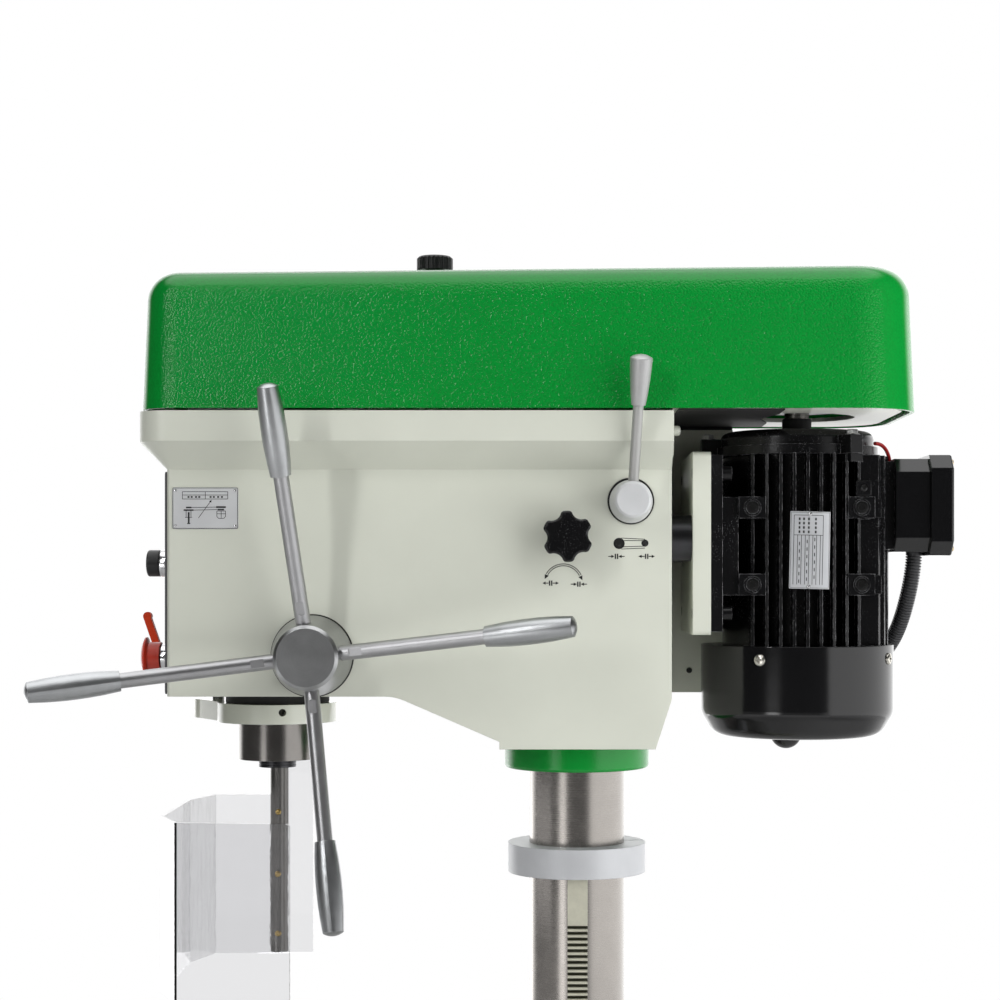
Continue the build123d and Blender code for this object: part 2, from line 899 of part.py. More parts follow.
def spring_housing():
    """Cup over the quill's return spring on the far side of the head."""
    y = head_half_width
    body = rod_along_y(spring_cup_radius, y, y + spring_cup_depth, feed_x, feed_z)
    inner = spring_cup_radius - spring_cup_wall
    body -= rod_along_y(inner, y, y + spring_cup_depth - spring_cup_wall, feed_x, feed_z)
    rim = body.edges().filter_by(GeomType.CIRCLE).group_by(Axis.Y)[-1]
    return fillet(rim, spring_cup_wall / 2)


def return_spring():
    """Flat spiral strip in half turns, from beside the pinion shaft out to its cup."""
    inner = feed_tail_radius + 3 * clear_gap
    outer = spring_cup_radius - spring_cup_wall - clear_gap
    growth = (outer - spring_strip - inner) / (2 * spring_turns)
    edges = []
    for thickness in (0.0, spring_strip):
        place = Vector(inner + thickness, 0, 0)
        centre = 0.0
        side = 1
        for half_turn in range(2 * spring_turns):
            radius = inner + thickness + growth * half_turn
            end = Vector(centre - side * radius, 0, 0)
            edges.append(ThreePointArc(place, Vector(centre, side * radius, 0), end))
            place = end
            centre += side * growth
            side = -side
    outside_end = edges[-1] @ 1
    inside_end = edges[2 * spring_turns - 1] @ 1
    edges.append(Line(inside_end, outside_end))
    edges.append(Line(edges[0] @ 0, edges[2 * spring_turns] @ 0))
    strip = extrude(make_face(edges), amount=spring_width)
    y = head_half_width + face_gap + spring_width
    return Pos(feed_x, y, feed_z) * Rot(90, 0, 0) * strip


def cover_hinge_pins():
    """Pins through the ears of the head and the knuckles of the cover."""
    half = hinge_length / 2
    return [rod_along_x(hinge_pin_radius, x - half, x + half, hinge_y, hinge_z) for x in hinge_places]


def guard_switch_box():
    """Small housing on the far side of the head in which the guard's post turns."""
    near = head_half_width
    high = switch_low + switch_height
    body = block(-switch_front, -switch_back, near, near + switch_depth, switch_low, high)
    body = fillet(body.edges().filter_by(Axis.Z), switch_corner)
    top = high - switch_height / 5
    return body - rod_along_z(post_radius + running_gap, switch_low, top, post_x, post_aside)


# Quill and spindle
def quill():
    """Sleeve with a toothed back that slides in the barrel."""
    body = ring(quill_radius, quill_bore, quill_bottom, quill_top, spindle_x)
    lower_end = quill_bottom + bearing_shoulder + lower_bearing_height
    body -= rod_along_z(lower_bearing_radius + seat_gap, quill_bottom, lower_end, spindle_x)
    upper_low = quill_top - upper_bearing_height
    body -= rod_along_z(upper_bearing_radius + seat_gap, upper_low, quill_top, spindle_x)
    margin = 2.3 * feed_module * pi
    centres = gap_centres(feed_module, feed_z, feed_z - margin, feed_z + quill_travel + margin)
    edge = toothed_edge(feed_module, feed_rack_depth, centres)
    outside = quill_radius + 2.0
    end_gap = pi * feed_module / 2
    corners = [(outside, centres[0] - end_gap), (edge[0][0], centres[0] - end_gap)] + edge
    corners += [(edge[-1][0], centres[-1] + end_gap), (outside, centres[-1] + end_gap)]
    half = feed_face / 2 + 2.0
    cutter = prism([(spindle_x + depth, -half, z) for depth, z in corners], (0, 2 * half, 0))
    return body - cutter


def quill_collar():
    """Clamp collar on the quill with an arm to the depth rod."""
    low = collar_top - quill_collar_height
    body = rod_along_z(quill_collar_radius, low, collar_top, spindle_x)
    body += rod_along_z(rod_lug_radius, low, collar_top, rod_x, rod_aside)
    reach = Vector(rod_x - spindle_x, rod_aside, 0)
    unit = reach.normalized()
    across = Vector(-unit.Y, unit.X, 0)
    middle = Vector(spindle_x, 0, 0)
    corners = [
        middle + across * (quill_collar_radius * 0.9),
        middle - across * (quill_collar_radius * 0.9),
        middle + reach - across * rod_lug_radius,
        middle + reach + across * rod_lug_radius,
    ]
    body += prism([(corner.X, corner.Y, low) for corner in corners], (0, 0, quill_collar_height))
    body -= rod_along_z(quill_radius + seat_gap, low, collar_top, spindle_x)
    body -= rod_along_z(rod_radius + seat_gap, low, collar_top, rod_x, rod_aside)
    screw_z = low + quill_collar_height / 2 + quill_hole_lift
    hole = rod_along_y(quill_hole_radius, -quill_collar_radius, 0, 0, screw_z)
    return body - Pos(spindle_x, 0, 0) * Rot(0, 0, quill_hole_turn) * hole


def quill_bumper():
    """Rubber ring under the head that the collar comes up against."""
    low = collar_top + face_gap
    return ring(bumper_radius, quill_radius + clear_gap, low, nose_bottom, spindle_x)


def depth_rod():
    """Threaded stop rod that rises with the quill into the head."""
    low = collar_top - quill_collar_height
    return rod_along_z(rod_radius, low, low + rod_length, rod_x, rod_aside)


def depth_nuts():
    """Two hexagon nuts that land on the head's floor at full depth."""
    low = nose_bottom + head_floor + quill_travel + face_gap
    nuts = []
    for step in range(2):
        nut = extrude(RegularPolygon(nut_across / 2, 6, major_radius=False), amount=nut_height - face_gap)
        nut -= rod_along_z(rod_radius + seat_gap, 0, nut_height)
        nuts.append(Pos(rod_x, rod_aside, low + step * nut_height) * nut)
    return nuts


def quill_bearings():
    """Lower and upper bearing rings in the quill."""
    lower = quill_bottom + bearing_shoulder
    body_fit = spindle_body_radius + running_gap
    neck_fit = spindle_neck_radius + running_gap
    return [
        ring(lower_bearing_radius, body_fit, lower, lower + lower_bearing_height, spindle_x),
        ring(upper_bearing_radius, neck_fit, quill_top - upper_bearing_height, quill_top, spindle_x),
    ]


def spindle():
    """Spindle with a tapered socket below and a splined drive end above."""
    low = quill_bottom - spindle_nose_drop
    seat = quill_bottom + 2.0
    body_end = low + taper_length + tang_length + spindle_body_over
    neck_low = quill_top - upper_bearing_height - 2.0
    top = quill_top + spindle_drive_length
    small = taper_mouth_radius - taper_length / taper_ratio / 2
    tang_end = low + taper_length + tang_length
    points = [
        (taper_mouth_radius, low),
        (spindle_nose_radius, low),
        (spindle_nose_radius, seat),
        (spindle_body_radius, seat),
        (spindle_body_radius, body_end),
        (spindle_body_radius - spindle_relief, body_end),
        (spindle_body_radius - spindle_relief, neck_low),
        (spindle_neck_radius, neck_low),
        (spindle_neck_radius, quill_top + 2.0),
        (spindle_drive_radius, quill_top + 2.0),
        (spindle_drive_radius, top - 1.5),
        (spindle_drive_radius - 1.5, top),
        (0, top),
        (0, tang_end),
        (small, tang_end),
        (small, low + taper_length),
    ]
    body = Pos(spindle_x, 0, 0) * turned(points)
    drift_half = 4.0
    drift_low = low + taper_length - drift_overlap
    reach = spindle_body_radius + 1
    return body - block(spindle_x - drift_half, spindle_x + drift_half, -reach, reach, drift_low, tang_end)


def spindle_nut():
    """Grooved ring nut on the spindle's nose."""
    low = quill_bottom - spindle_nose_drop
    high = quill_bottom - face_gap
    body = ring(spindle_nut_radius, spindle_nose_radius + seat_gap, low, high, spindle_x)
    for share in (0.35, 0.7):
        z = low + (high - low) * share
        body -= ring(spindle_nut_radius + 1, spindle_nut_radius - 0.8, z - 0.5, z + 0.5, spindle_x)
    return body


# Belt drive
def step_pulley(radii, bore):
    """Five-step V pulley about Z from z 0 up, largest step where the radii say."""
    points = [(bore, 0.0)]
    for step, radius in enumerate(radii):
        low = pulley_pitch * step
        middle = low + pulley_pitch / 2
        root = radius - groove_depth
        points += [
            (radius, low),
            (radius, middle - groove_top / 2),
            (root, middle - groove_root / 2),
            (root, middle + groove_root / 2),
            (radius, middle + groove_top / 2),
            (radius, low + pulley_pitch),
        ]
    points.append((bore, pulley_height))
    return turned(points)


def spindle_pulley():
    """Pulley keyed on the drive sleeve, largest step lowest."""
    return Pos(spindle_x, 0, pulley_base) * step_pulley(pulley_steps[::-1], sleeve_radius + seat_gap)


def drive_sleeve():
    """Sleeve in the barrel's bearings, through which the spindle's drive end slides."""
    low = pulley_base - sleeve_below
    high = pulley_top + sleeve_above
    return ring(sleeve_radius, spindle_drive_radius + running_gap, low, high, spindle_x)


def pulley_bearings():
    """Two bearings of the drive sleeve in the top of the barrel."""
    bore = sleeve_radius + running_gap
    rings = []
    for low in (bearing_floor, bearing_floor + sleeve_bearing_span - sleeve_bearing_height):
        rings.append(ring(sleeve_bearing_radius, bore, low, low + sleeve_bearing_height, spindle_x))
    return rings


def motor_pulley():
    """Pulley on the motor shaft, largest step highest."""
    return Pos(motor_x, 0, pulley_base) * step_pulley(pulley_steps, shaft_radius + seat_gap)


def belt_radii():
    """Outside radius of the belt on the spindle and on the motor pulley."""
    return pulley_steps[::-1][belt_step] + belt_inset, pulley_steps[belt_step] + belt_inset


def belt_loop(shrink):
    """Outline of the belt round both pulleys, moved in by shrink."""
    on_spindle, on_motor = [radius - shrink for radius in belt_radii()]
    lean = asin((on_spindle - on_motor) / (motor_x - spindle_x))
    ends = []
    for x, radius in ((spindle_x, on_spindle), (motor_x, on_motor)):
        ends.append((x + radius * sin(lean), radius * cos(lean)))
    (front_x, front_y), (back_x, back_y) = ends
    upper = Line((front_x, front_y), (back_x, back_y))
    round_motor = ThreePointArc((back_x, back_y), (motor_x + on_motor, 0), (back_x, -back_y))
    lower = Line((back_x, -back_y), (front_x, -front_y))
    round_spindle = ThreePointArc((front_x, -front_y), (spindle_x - on_spindle, 0), (front_x, front_y))
    return make_face([upper, round_motor, lower, round_spindle])


def drive_belt():
    """V belt, wide on the outside and narrow on the inside of its loop."""
    slope = (belt_top - belt_bottom) / 2
    inside_high = slope + belt_bottom
    outside = belt_loop(0)
    inside = belt_loop(belt_thickness)
    body = extrude(outside, amount=belt_top)
    body -= loft([outside, Pos(0, 0, slope) * inside])
    body -= extrude(Pos(0, 0, slope) * inside, amount=belt_bottom)
    body -= loft([Pos(0, 0, inside_high) * inside, Pos(0, 0, belt_top) * outside])
    return Pos(0, 0, belt_z - belt_top / 2) * body


# Cover over the belt drive
def cover_top_at(x):
    """Height of the cover's top, which rises from front to back."""
    return cover_top + cover_rise * (x + cover_front) / (cover_front + cover_back)


def cover_form(inset):
    """Drafted box of the cover, moved in by a wall, with a rising top and rounded upper edges."""
    front = -cover_front + inset
    back = cover_back - inset
    half = cover_half_width - inset
    plan = rounded_plan(front, back, half, cover_front_corner - inset, cover_back_corner - inset)
    body = extrude(Pos(0, 0, cover_rim) * plan, amount=cover_height + cover_rise, taper=cover_draft)
    ends = [-cover_front, cover_back]
    above = [(x, -cover_half_width, cover_top_at(x) - inset) for x in ends]
    above += [(x, -cover_half_width, cover_top + 2 * cover_rise) for x in reversed(ends)]
    body -= prism(above, (0, 2 * cover_half_width, 0))
    return fillet(body.faces().sort_by(Axis.Z)[-1].edges(), cover_top_edge - inset)


def belt_cover():
    """Moulded cover with hinge knuckles on its far side."""
    body = cover_form(0) - cover_form(cover_wall)
    for low, high in hinge_knuckle_places():
        reach = cover_half_width - cover_wall
        knuckle = block(low, high, reach, hinge_y, hinge_z, hinge_z + 2 * hinge_radius)
        knuckle += rod_along_x(hinge_radius, low, high, hinge_y, hinge_z)
        knuckle -= block(low, high, 0, reach, hinge_z - hinge_radius, hinge_z + 3 * hinge_radius)
        body += knuckle - rod_along_x(hinge_pin_radius + running_gap, low, high, hinge_y, hinge_z)
    stem = cover_knob_stem + running_gap
    top = cover_top_at(-cover_knob_ahead)
    return body - rod_along_z(stem, top - 2 * cover_wall, top + cover_wall, -cover_knob_ahead)


def cover_knob():
    """Fluted thumb knob on the cover, held from inside by a collar."""
    x = -cover_knob_ahead
    seat = cover_top_at(x + cover_knob_neck) + face_gap
    ceiling = cover_top_at(x - cover_knob_neck) - cover_wall - face_gap
    disc_low = seat + cover_knob_lift
    body = rod_along_z(cover_knob_neck, seat, disc_low, x)
    disc = rod_along_z(cover_knob_radius, disc_low, disc_low + cover_knob_height, x)
    top_edge = disc.edges().filter_by(GeomType.CIRCLE).sort_by(Axis.Z)[-1]
    disc = chamfer(top_edge, 2.0)
    for step in range(cover_knob_flutes):
        turn = 2 * pi * step / cover_knob_flutes
        flute_x = x + cover_knob_radius * cos(turn)
        flute_y = cover_knob_radius * sin(turn)
        disc -= rod_along_z(
            cover_knob_flute_radius, disc_low, disc_low + cover_knob_height, flute_x, flute_y
        )
    stem_low = ceiling - cover_knob_retainer
    body += disc + rod_along_z(cover_knob_stem, stem_low, seat, x)
    return body + rod_along_z(cover_knob_neck, stem_low, ceiling, x)


# Feed handle
def pinion_shaft():
    """Feed pinion with its journal, tail and hub stub."""
    wheel = toothed_wheel(feed_module, feed_teeth, feed_face)
    body = Pos(feed_x, 0, feed_z) * Rot(90, 0, 0) * wheel
    neck = feed_neck_half
    body += rod_along_y(feed_neck_radius, -neck, neck, feed_x, feed_z)
    body += rod_along_y(feed_journal_radius, -head_half_width, -neck, feed_x, feed_z)
    stub_end = hub_base_y - feed_stub_length
    body += rod_along_y(feed_stub_radius, stub_end, -head_half_width, feed_x, feed_z)
    tail_end = head_half_width + spring_width
    return body + rod_along_y(feed_tail_radius, neck, tail_end, feed_x, feed_z)


def arm_places():
    """Location of each feed arm, made along +Z from the hub's axis."""
    places = []
    tilt = radians(arm_tilt)
    root = (feed_x, hub_base_y - arm_out, feed_z)
    for step in range(arm_count):
        turn = radians(arm_turn) + 2 * pi * step / arm_count
        direction = (cos(turn) * cos(tilt), -sin(tilt), sin(turn) * cos(tilt))
        places.append(along(root, direction))
    return places


def upright_rod(radius, low, high):
    """Cylinder on the Z axis between two heights."""
    return rod_along_z(radius, low, high)


arm_length = arm_reach / cos(radians(arm_tilt))
arm_start = feed_stub_radius + 4.0
grip_start = arm_length - grip_length


def feed_hub():
    """Tapered hub with a socket for each arm."""
    points = [
        (0, 0),
        (hub_base_radius, 0),
        (hub_base_radius, 4.0),
        (hub_front_radius + hub_edge / 2, hub_depth - hub_edge),
        (hub_front_radius - hub_edge / 2, hub_depth),
        (0, hub_depth),
    ]
    body = facing_side(feed_x, hub_base_y, feed_z) * turned(points)
    stub_end = hub_base_y - feed_stub_length
    body -= rod_along_y(feed_stub_radius + seat_gap, stub_end, hub_base_y, feed_x, feed_z)
    for place in arm_places():
        body -= place * upright_rod(arm_radius + seat_gap, arm_start, 2 * hub_base_radius)
    return body


def feed_arms():
    """Round arms with wrench flats beside the hub."""
    rods = []
    flat_low = hub_base_radius + 4.0
    for place in arm_places():
        rod = upright_rod(arm_radius, arm_start, grip_start + grip_socket)
        for side in (-1, 1):
            half = arm_flat_across / 2
            cut = Pos(side * (half + arm_radius), 0, flat_low + arm_flat_length / 2)
            rod -= cut * Box(2 * arm_radius, 3 * arm_radius, arm_flat_length)
        rods.append(place * rod)
    return rods


def barrel_grip(length, root_radius, belly_radius, belly_share, tip_radius, bore, socket):
    """Grip along +Z from z 0, swelling at its belly, with a blind socket for its rod."""
    dome = tip_radius / 3
    dome_radius = (tip_radius**2 + dome**2) / (2 * dome)
    half_turn = asin(tip_radius / dome_radius) / 2
    side = ThreePointArc(
        (root_radius, 0, 0), (belly_radius, 0, length * belly_share), (tip_radius, 0, length - dome)
    )
    crown = (dome_radius * sin(half_turn), 0, length - dome_radius * (1 - cos(half_turn)))
    tip = ThreePointArc((tip_radius, 0, length - dome), crown, (0, 0, length))
    outline = [side, tip, Line((0, 0, length), (0, 0, socket)), Line((0, 0, socket), (bore, 0, socket))]
    outline += [Line((bore, 0, socket), (bore, 0, 0)), Line((bore, 0, 0), (root_radius, 0, 0))]
    return revolve(make_face(outline), Axis.Z)


def feed_grips():
    """Satin grips on the ends of the arms."""
    grips = []
    for place in arm_places():
        grip = barrel_grip(
            grip_length, grip_end_radius, grip_belly_radius, 0.35,
            grip_end_radius, arm_radius + seat_gap, grip_socket,
        )
        grips.append(place * Pos(0, 0, grip_start) * grip)
    return grips


# Motor tension lever and slide lock
def tension_hub():
    """Tapered hub with the pinion that draws the slide bar."""
    points = [
        (0, 0),
        (tension_base_radius, 0),
        (tension_base_radius, 3.0),
        (tension_front_radius + 1.0, tension_depth - 2.0),
        (tension_front_radius - 1.0, tension_depth),
        (0, tension_depth),
    ]
    body = facing_side(tension_back, hub_base_y, tension_z) * turned(points)
    neck_end = -bar_aside - tension_face / 2
    journal_end = -bar_aside - tension_neck_half
    body += rod_along_y(tension_journal_radius, hub_base_y, journal_end, tension_back, tension_z)
    body += rod_along_y(tension_neck_radius, journal_end, neck_end, tension_back, tension_z)
    wheel = toothed_wheel(tension_module, tension_teeth, tension_face)
    body += Pos(tension_back, -bar_aside, tension_z) * Rot(90, 0, 0) * Rot(0, 0, 90) * wheel
    return body - tension_place() * upright_rod(tension_rod_radius + seat_gap, 3.0, 3 * tension_base_radius)


def tension_place():
    """Location of the tension lever's rod, made along +Z from the hub's axis."""
    tilt = radians(tension_tilt)
    lean = radians(tension_lean)
    direction = (sin(lean), -sin(tilt), cos(tilt) * cos(lean))
    return along((tension_back, -head_half_width - tension_rod_out, tension_z), direction)


def tension_rod():
    """Rod of the tension lever."""
    end = tension_reach - tension_grip_length / 2
    return tension_place() * upright_rod(tension_rod_radius, 3.0, end)


def tension_grip():
    """Pear-shaped grip of the tension lever."""
    belly = (tension_grip_root + tension_grip_tip) / 2 + 0.6
    grip = barrel_grip(
        tension_grip_length, tension_grip_root, belly, 0.45,
        tension_grip_tip, tension_rod_radius + seat_gap, tension_grip_length / 2,
    )
    return tension_place() * Pos(0, 0, tension_reach - tension_grip_length) * grip


def lock_knob():
    """Star knob whose stem clamps the near slide bar."""
    plan = Circle(lock_radius)
    for step in range(lock_lobes):
        turn = 2 * pi * step / lock_lobes + radians(lock_turn)
        waist = Pos(lock_waist_circle * cos(turn), lock_waist_circle * sin(turn))
        plan -= waist * Circle(lock_waist_radius)
    plan = fillet(plan.vertices(), lock_tip_fillet)
    star = extrude(plan, amount=lock_depth)
    star = chamfer(star.faces().sort_by(Axis.Z)[-1].edges(), lock_chamfer)
    neck = rod_along_z(lock_neck_radius, -lock_neck + hub_gap, 0)
    stem_end = head_half_width - bar_aside - bar_radius - clear_gap
    stem = rod_along_z(lock_stem_radius, -lock_neck - stem_end, 0)
    place = facing_side(-lock_ahead, -head_half_width - lock_neck, bar_z)
    return place * (star + neck + stem)


# Motor and its slide
def motor_plate():
    """Plate on the slide bars that carries the motor's foot."""
    half = plate_half_width
    body = block(plate_x, plate_x + plate_thickness, -half, half, plate_low, plate_high)
    body = fillet(body.edges().filter_by(Axis.X), plate_corner)
    for y, z in motor_bolt_places():
        body -= rod_along_x(motor_bolt_radius + running_gap, plate_x, plate_x + plate_thickness, y, z)
    return body


def slide_bars():
    """Two bars that slide in the head, the near one toothed on top."""
    front = head_back - bar_inside
    bars = []
    for side in (-1, 1):
        bars.append(rod_along_x(bar_radius, front, plate_x, side * bar_aside, bar_z))
    margin = 2.5 * pi * tension_module
    first, last = tension_back - margin, tension_back + motor_travel + margin
    centres = gap_centres(tension_module, tension_back, first, last)
    edge = toothed_edge(tension_module, tension_rack_depth, centres)
    outside = bar_radius + 2.0
    end_gap = pi * tension_module / 2
    corners = [(outside, centres[0] - end_gap), (edge[0][0], centres[0] - end_gap)] + edge
    corners += [(edge[-1][0], centres[-1] + end_gap), (outside, centres[-1] + end_gap)]
    half = tension_face / 2 + 2.0
    cutter = prism([(x, -bar_aside - half, bar_z + depth) for depth, x in corners], (0, 2 * half, 0))
    bars[0] -= cutter
    return bars


def motor_bolt_places():
    """Y and Z of the bolts through the motor's foot."""
    middle = (plate_low + plate_high) / 2
    half = motor_bolt_spacing / 2
    return [(y, z) for y in (-motor_bolt_aside, motor_bolt_aside) for z in (middle - half, middle + half)]


def motor_foot():
    """Foot bolted on the slide plate, with two legs up to the motor's lugs."""
    low = plate_low + foot_margin
    high = plate_high - foot_margin
    front = plate_x + plate_thickness
    half = foot_half_width
    body = block(front, front + foot_thickness, -half, half, low, high)
    leg_top = motor_x - lug_aside - lug_size / 2
    for side in (-1, 1):
        inner = side * (fin_radius - 2 * foot_leg)
        outer = side * (fin_radius - foot_leg)
        y_low, y_high = min(inner, outer), max(inner, outer)
        z_half = lug_spacing / 2 + lug_height / 2
        body += block(front, leg_top, y_low, y_high, lug_mid - z_half, lug_mid + z_half)
    body -= rod_along_z(fin_radius + clear_gap, low, high, motor_x)
    for y, z in motor_bolt_places():
        body -= rod_along_x(motor_bolt_radius + running_gap, front, front + foot_thickness, y, z)
    return body


def motor_section():
    """Cross-section of the finned housing about its own axis."""
    fins = Sketch()
    for row in range(-fin_rows, fin_rows + 1):
        offset = row * fin_pitch
        fins += Pos(offset, 0) * Rectangle(fin_thickness, 2 * fin_radius)
        fins += Pos(fin_radius / 2, offset) * Rectangle(fin_radius, fin_thickness)
    fins &= Circle(fin_radius)
    return fins + Circle(motor_core_radius) - Circle(motor_bore_radius)


def bolt_ear(turn, low, high):
    """Square ear for a tie bolt on the motor's rim."""
    half = endshield_ear_width / 2
    ear = block(motor_core_radius - endshield_ear_root, endshield_ear_reach, -half, half, low, high)
    return Pos(motor_x, 0, 0) * Rot(0, 0, turn) * ear


def motor_housing():
    """Finned aluminium housing with foot lugs and the terminal pad."""
    body = extrude(Pos(motor_x, 0, motor_low) * motor_section(), amount=motor_length)
    for turn in endshield_ear_turns:
        body += bolt_ear(turn, motor_high - housing_ear, motor_high)
    pad_low = box_low + pad_margin
    pad_high = box_low + box_height - pad_margin
    pad_root = motor_x + motor_bore_radius
    body += block(pad_root, box_x, -pad_half_width, pad_half_width, pad_low, pad_high)
    for x_side in (-1, 1):
        for y_side in (-1, 1):
            for z_side in (-1, 1):
                x = motor_x + x_side * lug_aside
                z = lug_mid + z_side * lug_spacing / 2
                inner = y_side * (motor_core_radius / 2)
                outer = y_side * (fin_radius - foot_leg / 2)
                y_low, y_high = min(inner, outer), max(inner, outer)
                half = lug_size / 2
                lug = block(x - half, x + half, y_low, y_high, z - lug_height / 2, z + lug_height / 2)
                body += lug
    return body - rod_along_z(motor_bore_radius, motor_low, motor_high, motor_x)


def motor_endshields():
    """Drive-end shield with bolt ears, and the tail shield inside the fan cover."""
    bearing = shaft_radius + running_gap
    drive = rod_along_z(endshield_radius, motor_high, endshield_top, motor_x)
    edge = drive.edges().filter_by(GeomType.CIRCLE).sort_by(Axis.Z)[-1]
    drive = fillet(edge, endshield_height / 3)
    drive += rod_along_z(endshield_rim_radius, motor_high, motor_high + endshield_rim, motor_x)
    ear_top = endshield_top - endshield_ear_drop
    for turn in endshield_ear_turns:
        drive += bolt_ear(turn, motor_high, ear_top)
    drive += bolt_ear(180, plate_high + 4 * clear_gap, ear_top)
    drive -= rod_along_z(bearing, motor_high, endshield_top, motor_x)
    tail = rod_along_z(tail_shield_radius, tail_low, motor_low, motor_x)
    tail -= rod_along_z(motor_bore_radius, tail_low, motor_low - tail_shield_height / 2, motor_x)
    tail += rod_along_z(shaft_radius * 2, tail_low + 4.0, motor_low, motor_x)
    tail -= rod_along_z(bearing, tail_low, motor_low, motor_x)
    return [drive, tail]


def stator():
    """Laminated stator with its end windings."""
    half = rotor_length / 2
    core = ring(motor_bore_radius - seat_gap, stator_bore, motor_mid - half, motor_mid + half, motor_x)
    inner = stator_bore + 2.0
    for low, high in (
        (motor_mid - half - winding_overhang, motor_mid - half),
        (motor_mid + half, motor_mid + half + winding_overhang),
    ):
        core += ring(inner + winding_thickness, inner, low, high, motor_x)
    return core


def fan_bowl(wall):
    """Turned bowl of the fan cover, moved in by a wall."""
    low = fan_cover_bottom + wall
    points = [
        (0, low),
        (fan_cover_nose_radius - wall / 2, low),
        (fan_cover_radius - wall, fan_cover_low + wall / 2),
        (fan_cover_radius - wall, motor_low),
        (0, motor_low),
    ]
    bowl = turned(points)
    bends = bowl.edges().filter_by(GeomType.CIRCLE).group_by(Axis.Z)
    return fillet(bends[0] + bends[1], fan_cover_bend - wall)


def fan_cover():
    """Pressed cover round the cooling fan with an inlet grille underneath."""
    wall = fan_cover_wall
    body = fan_bowl(0) - fan_bowl(wall)
    slot_inner = fan_cover_nose_radius * 0.38
    slot_outer = fan_cover_nose_radius * 0.8
    low = fan_cover_bottom - 1
    for step in range(fan_slot_count):
        slot = block(slot_inner, slot_outer, -fan_slot_width / 2, fan_slot_width / 2, low, low + 3 * wall)
        body -= Rot(0, 0, 360 * step / fan_slot_count) * slot
    dome_radius = (fan_nub_radius**2 + fan_nub_height**2) / (2 * fan_nub_height)
    dome = Pos(0, 0, fan_cover_bottom - fan_nub_height + dome_radius) * Sphere(dome_radius)
    wide = 2 * fan_nub_radius
    nub_low = fan_cover_bottom - wide
    cap = dome & block(-wide, wide, -wide, wide, nub_low, fan_cover_bottom + wall / 2)
    body += Pos(-fan_nub_offset, 0, 0) * cap
    return Pos(motor_x, 0, 0) * body


def motor_bolts():
    """Cap screws through the motor's foot into the slide plate."""
    front = plate_x + plate_thickness + foot_thickness
    screws = []
    for y, z in motor_bolt_places():
        screw = rod_along_x(motor_bolt_radius, plate_x, front, y, z)
        screws.append(screw + rod_along_x(motor_bolt_head_radius, front, front + motor_bolt_head, y, z))
    return screws


def box_plan(inset):
    """Outline of the terminal box seen from its lid, with chamfered corners."""
    plan = Rectangle(box_height - 2 * inset, 2 * (box_half_width - inset))
    return chamfer(plan.vertices(), box_corner)


def terminal_box():
    """Open box on the motor's terminal pad."""
    place = Pos(box_x, 0, box_low + box_height / 2) * Rot(0, 90, 0)
    body = extrude(box_plan(lid_margin), amount=box_depth)
    body -= Pos(0, 0, box_wall) * extrude(box_plan(lid_margin + box_wall), amount=box_depth)
    start_x, start_y = conduit_start
    gland_high = box_low + lid_margin + 2 * box_wall
    gland = rod_along_z(conduit_radius + seat_gap, box_low, gland_high, start_x, start_y)
    return place * body - gland


def terminal_box_lid():
    """Lid of the terminal box with a spigot inside the rim."""
    place = Pos(lid_x, 0, box_low + box_height / 2) * Rot(0, 90, 0)
    lid = extrude(box_plan(0), amount=lid_thickness)
    lid = fillet(lid.faces().sort_by(Axis.Z)[-1].edges(), 3.0)
    spigot = extrude(box_plan(lid_margin + box_wall + clear_gap), amount=-box_wall)
    return place * (lid + spigot)


def conduit_points():
    """Corners of the conduit's route from the terminal box round the motor to the electrical box."""
    start_x, start_y = conduit_start
    end_y, end_z = conduit_end
    top = box_low + lid_margin + box_wall
    points = [(start_x, start_y, top), (start_x, start_y, top - conduit_drop)]
    points += [(motor_x + x, y, motor_low + z) for x, y, z in conduit_bends]
    points += [(ebox_back + conduit_run, end_y, end_z), (ebox_back - conduit_inside, end_y, end_z)]
    return points


def conduit_radii():
    """Radius of each bend of the conduit, as large as its two runs allow."""
    radii = []
    points = conduit_points()
    for before, here, after in zip(points, points[1:], points[2:]):
        into = Vector(*here) - Vector(*before)
        out = Vector(*after) - Vector(*here)
        turn = radians(into.get_angle(out))
        radii.append(0.45 * min(into.length, out.length) / tan(turn / 2))
    return radii


def conduit_path():
    """Straight runs joined by tangent arcs."""
    return FilletPolyline(*conduit_points(), radius=conduit_radii())


def conduit():
    """Corrugated conduit: ribs of four circles each round an open bore, plain at both ends."""
    path = conduit_path()
    length = path.length
    ribs = int((length - 2 * conduit_collar) / conduit_rib_pitch)
    start = (length - ribs * conduit_rib_pitch) / 2
    stations = [(0.0, conduit_radius), (start, conduit_radius)]
    rib_radii = (conduit_valley, conduit_radius, conduit_radius, conduit_valley)
    for rib in range(ribs):
        here = start + rib * conduit_rib_pitch
        for share, radius in zip((0.2, 0.4, 0.7, 0.9), rib_radii):
            stations.append((here + share * conduit_rib_pitch, radius))
    stations.append((length - start + 0.1 * conduit_rib_pitch, conduit_radius))
    stations.append((length, conduit_radius))
    steady = Vector(0, 1, 0)
    outer, inner = [], []
    for place, radius in stations:
        at = path.position_at(place / length)
        heading = path.tangent_at(place / length)
        plane = Plane(origin=at, x_dir=steady - heading * steady.dot(heading), z_dir=heading)
        outer.append(plane * Circle(radius))
        inner.append(plane * Circle(conduit_bore))
    skin = loft(outer, ruled=True)
    bore = loft(inner[:2] + inner[2:-2:4] + inner[-2:], ruled=True)
    return skin - bore


